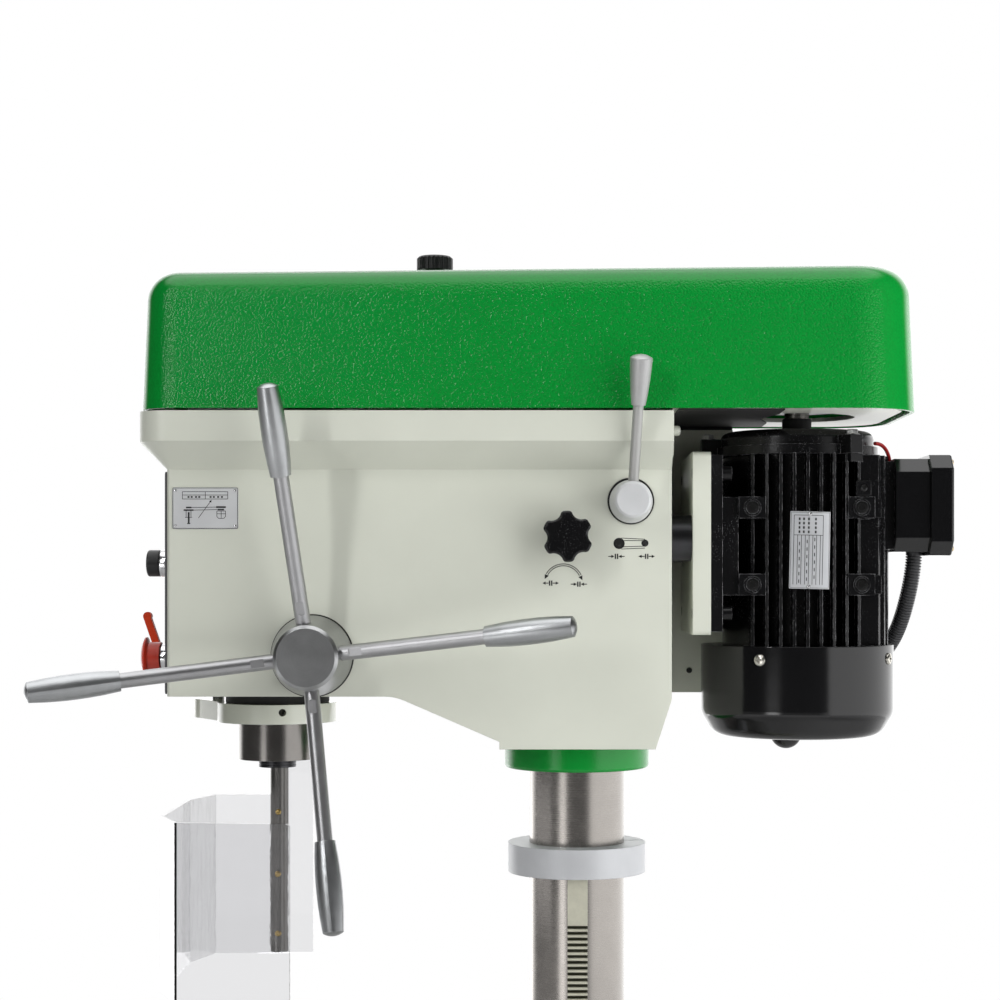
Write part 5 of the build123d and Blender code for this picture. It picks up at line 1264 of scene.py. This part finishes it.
@dataclass
class MotorTrim:
    """Nameplate, screws, bolts, bosses and seal of the motor, in millimetres and degrees."""

    axis_x: float = 214.0
    fin_radius: float = 88.0
    beyond: float = 300.0
    plate_box: tuple[float, float, float, float] = (-18.6, 18.9, -36.0, 36.0)
    plate_z: float = 1433.0
    plate_aside: float = 1.6
    plate_tilt: float = -1.2
    plate_thickness: float = 0.9
    line_heights: tuple[float, float] = (0.88, 0.98)
    rivet_along: float = 33.8
    ear_circle: float = 86.0
    ear_top: float = 1541.5
    ear_turns: tuple[float, ...] = (-60.0, 60.0, 180.0)
    lug_aside: float = 51.0
    lug_z: tuple[float, float] = (1401.0, 1473.0)
    cover_radius: float = 93.0
    cover_screw_z: float = 1330.4
    cover_screw_turn: float = 241.6
    lid_x: float = 358.0
    lid_z: float = 1476.7
    lid_screw_aside: float = 33.0
    lid_screw_rise: float = 41.0
    boss_place: tuple[float, float, float] = (267.0, -66.0, 1491.0)
    boss_width: float = 14.5
    boss_height: float = 15.0
    block_x: float = 283.0
    block_back: float = -30.0
    block_size: tuple[float, float, float] = (8.0, 18.0, 31.0)
    seal_radii: tuple[float, float] = (12.6, 14.2)
    seal_heights: tuple[float, float] = (1547.0, 1561.5)

    def curved(self, across: float, along: float, lift: float) -> Vector:
        """Point of the bent nameplate.

        Args:
            across: place on the flat plate, across the motor.
            along: place on the flat plate, along the motor.
            lift: height above the fins.

        Returns:
            The point in the shared frame.
        """
        tilt = math.radians(self.plate_tilt)
        u = across * math.cos(tilt) - along * math.sin(tilt) + self.plate_aside
        v = across * math.sin(tilt) + along * math.cos(tilt)
        turn = u / self.fin_radius
        radius = self.fin_radius + lift
        return Vector((self.axis_x + radius * math.sin(turn), -radius * math.cos(turn), self.plate_z + v))

    def bent_strip(self, form: Form, box: tuple[float, float, float, float], low: float, high: float) -> None:
        """Strip of the bent nameplate.

        Args:
            form: form that takes the strip.
            box: its limits on the flat plate: left, right, bottom and top.
            low: height of its underside above the fins.
            high: height of its top above the fins.
        """
        left, right, bottom, top = box
        steps = max(2, int((right - left) / 2.5))
        rings = []
        for step in range(steps + 1):
            across = left + (right - left) * step / steps
            rings.append([self.curved(across, bottom, low), self.curved(across, top, low),
                          self.curved(across, top, high), self.curved(across, bottom, high)])
        form.skin(rings, Matrix.Identity(4))

    def nameplate(self) -> None:
        """Bare nameplate bent round the fins, with ruled lines, plain marks and two rivets."""
        plate = Form()
        self.bent_strip(plate, self.plate_box, 0.02, self.plate_thickness)
        plate.finish("motor_plate_sign", "motor_carriage", NAMEPLATE, bevel=0.25)
        thin, bold = 0.15, 0.25
        boxes = [(across - thin, across + thin, -35.0, 35.0) for across in (-17.6, 17.9)]
        boxes += [(-17.6, 17.9, along - thin, along + thin) for along in (-35.0, 35.0)]
        boxes += [(-15 + 3.5 * step - bold, -15 + 3.5 * step + bold, -32.0, 14.0) for step in range(8)]
        boxes += [(-15.0, 12.0, along - bold, along + bold) for along in (14.0, 32.5)]
        boxes += [(across - bold, across + bold, -32.0, 32.5) for across in (-15.0, 12.0)]
        boxes += [(across - 0.8, across + 0.8, along - 1.2, along + 1.2)
                  for across in (-10.0, -6.0, -1.5, 5.0) for along in range(17, 31, 4)]
        boxes += [(across - 0.4, across + 0.4, along - 1.6, along + 1.6)
                  for index, across in enumerate((-9.7, -2.7, 4.3))
                  for along in range(-29 + 2 * index, 12, 7)]
        ruled = Form()
        for box in boxes:
            self.bent_strip(ruled, box, *self.line_heights)
        ruled.finish("motor_plate_lines", "motor_carriage", BLACK_INK)
        rivets = Form()
        for along in (-self.rivet_along, self.rivet_along):
            spot = self.curved(-0.5, along, self.plate_thickness)
            Fastener(2.0, 1.2).rivet(rivets, on_side(spot, Side.NEAR))
        rivets.finish("motor_plate_rivets", "motor_carriage", CHROME)

    def lug_screws(self) -> None:
        """Cap screws with raised seats in the foot lugs."""
        seats, screws = Form(), Form()
        inner, outer = 6.0, 8.4
        profile = [(inner, -SINK), (outer, -SINK), (outer, 0.7), (outer - 0.6, 1.2), (inner, 1.2)]
        for side, start_y in ((Side.NEAR, -self.beyond), (Side.FAR, self.beyond)):
            for x in (self.axis_x - self.lug_aside, self.axis_x + self.lug_aside):
                for z in self.lug_z:
                    place = Surface.seat("motor_housing", (x, start_y, z), side)
                    seats.turned(profile, place, 36, True)
                    Fastener(5.6, 1.0).cap(screws, place)
        # The seats' lightened edges are partly painted highlight rings round the screw heads.
        seats.finish("lug_seats", "motor_carriage", SLOT_FINISHES["motor_alloy"], "motor_alloy")
        screws.finish("lug_screws", "motor_carriage", BLACK_SCREW, "dark_steel")

    def shield_bolts(self) -> None:
        """Hexagon bolts on the ears of the drive-end shield."""
        bolts = Form()
        for turn in [math.radians(turn) for turn in self.ear_turns]:
            x, y = self.axis_x + self.ear_circle * math.cos(turn), self.ear_circle * math.sin(turn)
            Fastener(5.0, 5.0).hexagonal(bolts, on_side((x, y, self.ear_top), Side.UP))
        bolts.finish("shield_bolts", "motor_carriage", SLOT_FINISHES["zinc_steel"], "zinc_steel", bevel=0.25)

    def cover_screws(self) -> None:
        """Cross-recess screws round the fan cover."""
        screws = Form()
        for step in range(4):
            turn = math.radians(self.cover_screw_turn + 90 * step)
            way = Vector((math.cos(turn), math.sin(turn), 0.0))
            spot = Vector((self.axis_x, 0.0, self.cover_screw_z)) + way * self.cover_radius
            Fastener(5.6, 2.4).pan(screws, facing(spot, way))
        screws.finish("fan_cover_screws", "motor_carriage", SCREW, "zinc_steel")

    def lid_screws(self) -> None:
        """Screws in the corners of the terminal box's lid."""
        screws = Form()
        for y in (-self.lid_screw_aside, self.lid_screw_aside):
            for rise in (-self.lid_screw_rise, self.lid_screw_rise):
                spot = (self.lid_x, y, self.lid_z + rise)
                Fastener(3.2, 2.0).pan(screws, on_side(spot, Side.REAR))
        screws.finish("lid_screws", "motor_carriage", BRASS)

    def earth_boss(self) -> None:
        """Square boss with a screw above the upper lug on the motor's right."""
        place = on_side(self.boss_place, Side.NEAR)
        outline = rounded_rectangle(self.boss_width, self.boss_width, 1.5)
        Form().slab(outline, 0.0, self.boss_height, place).finish(
            "earth_boss", "motor_carriage", SLOT_FINISHES["motor_alloy"], "motor_alloy", bevel=0.8)
        screw = Form()
        Fastener(3.2, 1.6).pan(screw, place @ Matrix.Translation((0.0, 0.0, self.boss_height)))
        screw.finish("earth_screw", "motor_carriage", BLACK_SCREW, "dark_steel")

    def side_blocks(self) -> None:
        """Small cast blocks beside the foot lugs on the right."""
        blocks = Form()
        width, height, depth = self.block_size
        for z in self.lug_z:
            place = on_side((self.block_x, self.block_back, z), Side.NEAR)
            blocks.slab(rounded_rectangle(width, height, 1.2), 0.0, depth, place)
        blocks.finish("lug_blocks", "motor_carriage", SLOT_FINISHES["motor_alloy"], "motor_alloy", bevel=0.6)

    def shaft_seal(self) -> None:
        """Black sleeve round the shaft where it leaves the motor."""
        inner, outer = self.seal_radii
        low, high = self.seal_heights
        place = Matrix.Translation((self.axis_x, 0.0, low))
        rise = high - low
        profile = [(inner, 0.0), (outer + 3.0, 0.0), (outer + 2.0, 3.0), (outer, 4.5), (outer, rise - 0.8),
                   (outer - 0.5, rise), (inner, rise)]
        Form().turned(profile, place, 48, True).finish(
            "shaft_seal", "motor_carriage", SLOT_FINISHES["black_rubber"], "black_rubber")

    def build(self) -> None:
        """Makes all of the motor's trim."""
        self.nameplate()
        self.earth_boss()
        self.side_blocks()
        self.shaft_seal()
        self.lug_screws()
        self.shield_bolts()
        self.cover_screws()
        self.lid_screws()


class Line:
    """A smooth line through close points, with frames carried along it."""

    def __init__(self, points: Sequence[Vector]) -> None:
        """Measures the line and carries a side direction along it.

        Args:
            points: the points, in millimetres.
        """
        self.points = list(points)
        self.at = [0.0]
        for before, after in zip(self.points, self.points[1:]):
            self.at.append(self.at[-1] + (after - before).length)
        self.length = self.at[-1]
        self.ways = []
        last = len(self.points) - 1
        for index in range(last + 1):
            way = self.points[min(index + 1, last)] - self.points[max(index - 1, 0)]
            self.ways.append(way.normalized())
        aside = self.ways[0].orthogonal().normalized()
        self.asides = []
        for way in self.ways:
            aside = (aside - way * aside.dot(way)).normalized()
            self.asides.append(aside)

    def ring(self, distance: float, radius: float, count: int) -> list[Vector]:
        """Ring of points round the line.

        Args:
            distance: how far along the line it lies.
            radius: radius of the ring.
            count: number of points.

        Returns:
            The ring.
        """
        index = 0
        while index < len(self.at) - 2 and self.at[index + 1] < distance:
            index += 1
        span = self.at[index + 1] - self.at[index]
        share = min(max((distance - self.at[index]) / span, 0.0), 1.0)
        middle = self.points[index].lerp(self.points[index + 1], share)
        way = self.ways[index].lerp(self.ways[index + 1], share).normalized()
        aside = self.asides[index].lerp(self.asides[index + 1], share)
        aside = (aside - way * aside.dot(way)).normalized()
        other = way.cross(aside)
        turns = [2 * math.pi * step / count for step in range(count)]
        return [middle + (aside * math.cos(turn) + other * math.sin(turn)) * radius for turn in turns]


def smooth_line(name: str, route: Sequence[Sequence[float]]) -> Line:
    """The smooth line that a route's corners pull.

    Args:
        name: name for the passing curve.
        route: control points in millimetres.

    Returns:
        The line.
    """
    curve = bpy.data.curves.new(name, "CURVE")
    curve.dimensions = "3D"
    spline = curve.splines.new("NURBS")
    spline.points.add(len(route) - 1)
    for point, corner in zip(spline.points, route):
        point.co = (corner[0] * MM, corner[1] * MM, corner[2] * MM, 1.0)
    spline.order_u = 3
    spline.use_endpoint_u = True
    spline.resolution_u = 64
    holder = bpy.data.objects.new(name, curve)
    bpy.context.scene.collection.objects.link(holder)
    mesh = bpy.data.meshes.new_from_object(holder)
    points = [vertex.co / MM for vertex in mesh.vertices]
    bpy.data.objects.remove(holder)
    bpy.data.curves.remove(curve)
    bpy.data.meshes.remove(mesh)
    return Line(points)


@dataclass
class Conduit:
    """Corrugated conduit from the terminal box round the motor to the electrical box, in millimetres."""

    route: tuple[tuple[float, float, float], ...] = (
        (328.1, 0.0, 1435.2),
        (328.1, 0.0, 1411.2),
        (315.0, 25.0, 1347.0),
        (297.0, 67.0, 1322.0),
        (254.0, 114.0, 1312.0),
        (206.0, 132.0, 1316.0),
        (150.0, 132.0, 1316.0),
    )
    radius: float = 7.9
    valley: float = 6.5
    rib_pitch: float = 2.8
    plain: float = 6.0
    sides: int = 28

    def build(self) -> None:
        """Makes the ribbed tube, which bends between motor and head."""
        line = smooth_line("conduit_route", self.route)
        stations = [(0.0, self.radius), (self.plain, self.radius)]
        ribs = int((line.length - 2 * self.plain) / self.rib_pitch)
        profile = ((0.05, self.valley), (0.3, self.valley), (0.45, self.radius), (0.85, self.radius))
        for rib in range(ribs):
            stations += [(self.plain + (rib + share) * self.rib_pitch, radius) for share, radius in profile]
        stations += [(self.plain + ribs * self.rib_pitch, self.radius), (line.length, self.radius)]
        rings = [line.ring(at, radius, self.sides) for at, radius in stations]
        piece = Form().skin(rings, Matrix.Identity(4)).finish(
            "conduit_tube", None, SLOT_FINISHES["conduit_plastic"], "conduit_plastic", sharp=60.0)
        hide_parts("conduit")
        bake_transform(piece)


@dataclass
class EarthLead:
    """Short red lead from the end shield down to the terminal box, in millimetres."""

    route: tuple[tuple[float, float, float], ...] = (
        (284.0, -38.0, 1535.5),
        (290.0, -32.0, 1536.0),
        (298.0, -24.0, 1530.0),
        (302.5, -18.0, 1517.0),
        (303.0, -16.0, 1511.0),
    )
    radius: float = 1.8
    steps: int = 40
    sides: int = 14

    def build(self) -> None:
        """Makes the round lead."""
        line = smooth_line("lead_route", self.route)
        stations = [line.length * step / self.steps for step in range(self.steps + 1)]
        rings = [line.ring(at, self.radius, self.sides) for at in stations]
        piece = Form().skin(rings, Matrix.Identity(4)).finish(
            "earth_lead", "motor_carriage", RED_LEAD, sharp=60.0)


@dataclass
class GuardTrim:
    """Screws and nuts that hold the clear guard on its post, in millimetres."""

    post_x: float = -303.0
    inside: float = -50.0
    beyond: float = 300.0
    screw_levels: tuple[float, ...] = (1045.0, 1105.7, 1168.9)

    def build(self) -> None:
        """Makes the brass screws on the post and the nuts behind the sheet."""
        screws, nuts = Form(), Form()
        for z in self.screw_levels:
            on_post = Surface.seat("guard_post", (self.post_x, self.inside, z), Side.NEAR)
            Fastener(3.0, 1.6).pan(screws, on_post)
            on_sheet = Surface.seat("guard_shield", (self.post_x, self.beyond, z), Side.FAR)
            Fastener(4.0, 3.2).hexagonal(nuts, on_sheet)
        screws.finish("guard_screws", "guard", BRASS)
        nuts.finish("guard_nuts", "guard", SLOT_FINISHES["zinc_steel"], "zinc_steel")


@dataclass(frozen=True)
class Lamp:
    """Soft rectangular lamp, in metres and watts, which shiny surfaces mirror or not."""

    name: str
    place: tuple[float, float, float]
    size: tuple[float, float]
    power: float
    mirrored: bool = True

    def build(self, target: Sequence[float]) -> None:
        """Makes the lamp.

        Args:
            target: point that it looks at.
        """
        data = bpy.data.lights.new(self.name, "AREA")
        data.shape = "RECTANGLE"
        data.size, data.size_y = self.size
        data.energy = self.power
        holder = bpy.data.objects.new(self.name, data)
        bpy.context.scene.collection.objects.link(holder)
        holder.location = self.place
        holder.rotation_euler = (Vector(target) - Vector(self.place)).to_track_quat("-Z", "Y").to_euler()
        holder.visible_camera = False
        holder.visible_glossy = self.mirrored


@dataclass
class Studio:
    """Camera at the photograph's view, pale floor, white surroundings and soft lamps, in metres.

    A zone is given by the parts of a direction, from -1 to 1, between which its light comes up.
    """

    camera_place: tuple[float, float, float] = (-0.026, -1.984, 1.405)
    lens: float = 73.4
    sensor: float = 36.0
    sight: float = 60.0
    shift: tuple[float, float] = (-0.05, 0.0803)
    floor_radius: float = 4.0
    floor_drop: float = 0.0005
    floor_tones: tuple[float, float] = (0.84, 0.88)
    room_level: float = 0.05
    behind_level: float = 1.8
    behind_zone: tuple[float, float] = (0.42, 0.7)
    window_level: float = 1.7
    window_zone: tuple[float, float] = (0.46, 0.56)
    window_top: tuple[float, float] = (0.03, 0.09)
    ceiling_level: float = 2.2
    ceiling_zone: tuple[float, float] = (0.72, 0.9)
    low_level: float = 0.27
    low_top: tuple[float, float] = (-0.105, -0.08)
    low_strip_level: float = 4.2
    low_strip_left: tuple[float, float] = (-0.72, -0.62)
    low_strip_right: tuple[float, float] = (-0.5, -0.4)
    low_window_level: float = 0.8
    low_window_zone: tuple[float, float] = (0.28, 0.50)
    ambient: float = 0.16
    ambient_zone: tuple[float, float] = (-0.7, 0.7)
    lamp_target: tuple[float, float, float] = (-0.03, 0.0, 1.45)
    lamps: tuple[Lamp, ...] = (
        Lamp("right_window", (1.35, -0.95, 1.65), (2.0, 2.4), 36.0, mirrored=False),
        Lamp("left_window", (-1.7, -2.3, 2.6), (0.22, 1.6), 21.0),
        Lamp("top_window", (0.0, -0.2, 3.6), (2.4, 1.6), 9.0, mirrored=False),
        Lamp("back_window", (0.4, 2.6, 2.3), (2.4, 1.8), 30.0, mirrored=False),
        Lamp("front_strip", (0.0, -1.7, 3.1), (2.4, 0.15), 2.0),
    )

    def camera(self) -> None:
        """Makes the camera level, looking across the machine."""
        data = bpy.data.cameras.new("view")
        data.lens = self.lens
        data.sensor_width = self.sensor
        data.shift_x, data.shift_y = self.shift
        data.clip_end = self.sight
        holder = bpy.data.objects.new("view", data)
        bpy.context.scene.collection.objects.link(holder)
        holder.location = self.camera_place
        holder.rotation_euler = (math.pi / 2, 0.0, 0.0)
        bpy.context.scene.camera = holder

    def floor(self) -> None:
        """Makes a round pale floor that fades into the white surroundings at its rim."""
        made = bpy.data.materials.new("pale_floor")
        made.use_nodes = True
        graph = Graph(made.node_tree)
        where = graph.place()
        grain = graph.noise(where, 0.3, 3.0)
        darker, lighter = self.floor_tones
        colour = graph.mix(grain, (darker, darker, darker), (lighter, lighter, lighter))
        ground = graph.node("ShaderNodeBsdfPrincipled", {}, {"Base Color": colour, "Roughness": 0.7})
        white = graph.node("ShaderNodeEmission", {}, {"Color": WHITE, "Strength": 1.0})
        rim = graph.length(where).step(0.3 * self.floor_radius, 0.8 * self.floor_radius)
        mixed = graph.node("ShaderNodeMixShader", {}, {0: rim, 1: ground, 2: white})
        graph.node("ShaderNodeOutputMaterial", {}, {"Surface": mixed})
        mesh = bpy.data.meshes.new("floor")
        ring = circle(self.floor_radius, 0.0, 96)
        mesh.from_pydata(ring, [], [list(range(len(ring)))])
        mesh.materials.append(made)
        piece = bpy.data.objects.new("floor", mesh)
        bpy.context.scene.collection.objects.link(piece)
        piece.location.z = -self.floor_drop

    def surroundings(self) -> None:
        """White for the camera and through glass; shiny surfaces see a room with bright and dim zones."""
        world = bpy.data.worlds.new("surroundings")
        world.use_nodes = True
        bpy.context.scene.world = world
        graph = Graph(world.node_tree)
        camera = graph.node("ShaderNodeLightPath", {}, {}, "Is Camera Ray")
        glass = graph.node("ShaderNodeLightPath", {}, {}, "Is Transmission Ray")
        gloss = graph.node("ShaderNodeLightPath", {}, {}, "Is Glossy Ray")
        way = graph.node("ShaderNodeTexCoord", {}, {}, "Generated")
        across, depth, height = (graph.along(way, axis) for axis in (X_AXIS, Y_AXIS, Z_AXIS))
        behind = depth.step(*self.behind_zone) * self.behind_level
        window = across.step(*self.window_zone) * (1.0 - height.step(*self.window_top)) * self.window_level
        strip = across.step(*self.low_strip_left) * (1.0 - across.step(*self.low_strip_right))
        low_strip = strip * self.low_strip_level
        low_window = across.step(*self.low_window_zone) * self.low_window_level
        low = (1.0 - height.step(*self.low_top)) * low_strip.larger(low_window).larger(self.low_level)
        ceiling = height.step(*self.ceiling_zone) * self.ceiling_level
        room = behind.larger(window).larger(low).larger(ceiling).larger(self.room_level)
        mirror = gloss * (1.0 - glass)
        lit = mirror * room + (1.0 - gloss) * self.ambient * height.step(*self.ambient_zone)
        strength = camera.larger(glass).larger(lit)
        shade = graph.node("ShaderNodeBackground", {}, {"Color": WHITE, "Strength": strength})
        graph.node("ShaderNodeOutputWorld", {}, {"Surface": shade})

    def build(self) -> None:
        """Makes camera, floor, surroundings and lamps."""
        bpy.context.scene.view_settings.view_transform = "Standard"
        self.camera()
        self.floor()
        self.surroundings()
        for lamp in self.lamps:
            lamp.build(self.lamp_target)


def main() -> None:
    """Builds the whole scene."""
    logging.basicConfig(level=logging.INFO, format="%(message)s")
    Studio().build()
    Conduit().build()
    EarthLead().build()
    PALETTE.dress_nodes()
    HeadTrim().build()
    FrontControls().build()
    CoverTrim().build()
    MotorTrim().build()
    GuardTrim().build()


if __name__ == "__main__":
    main()
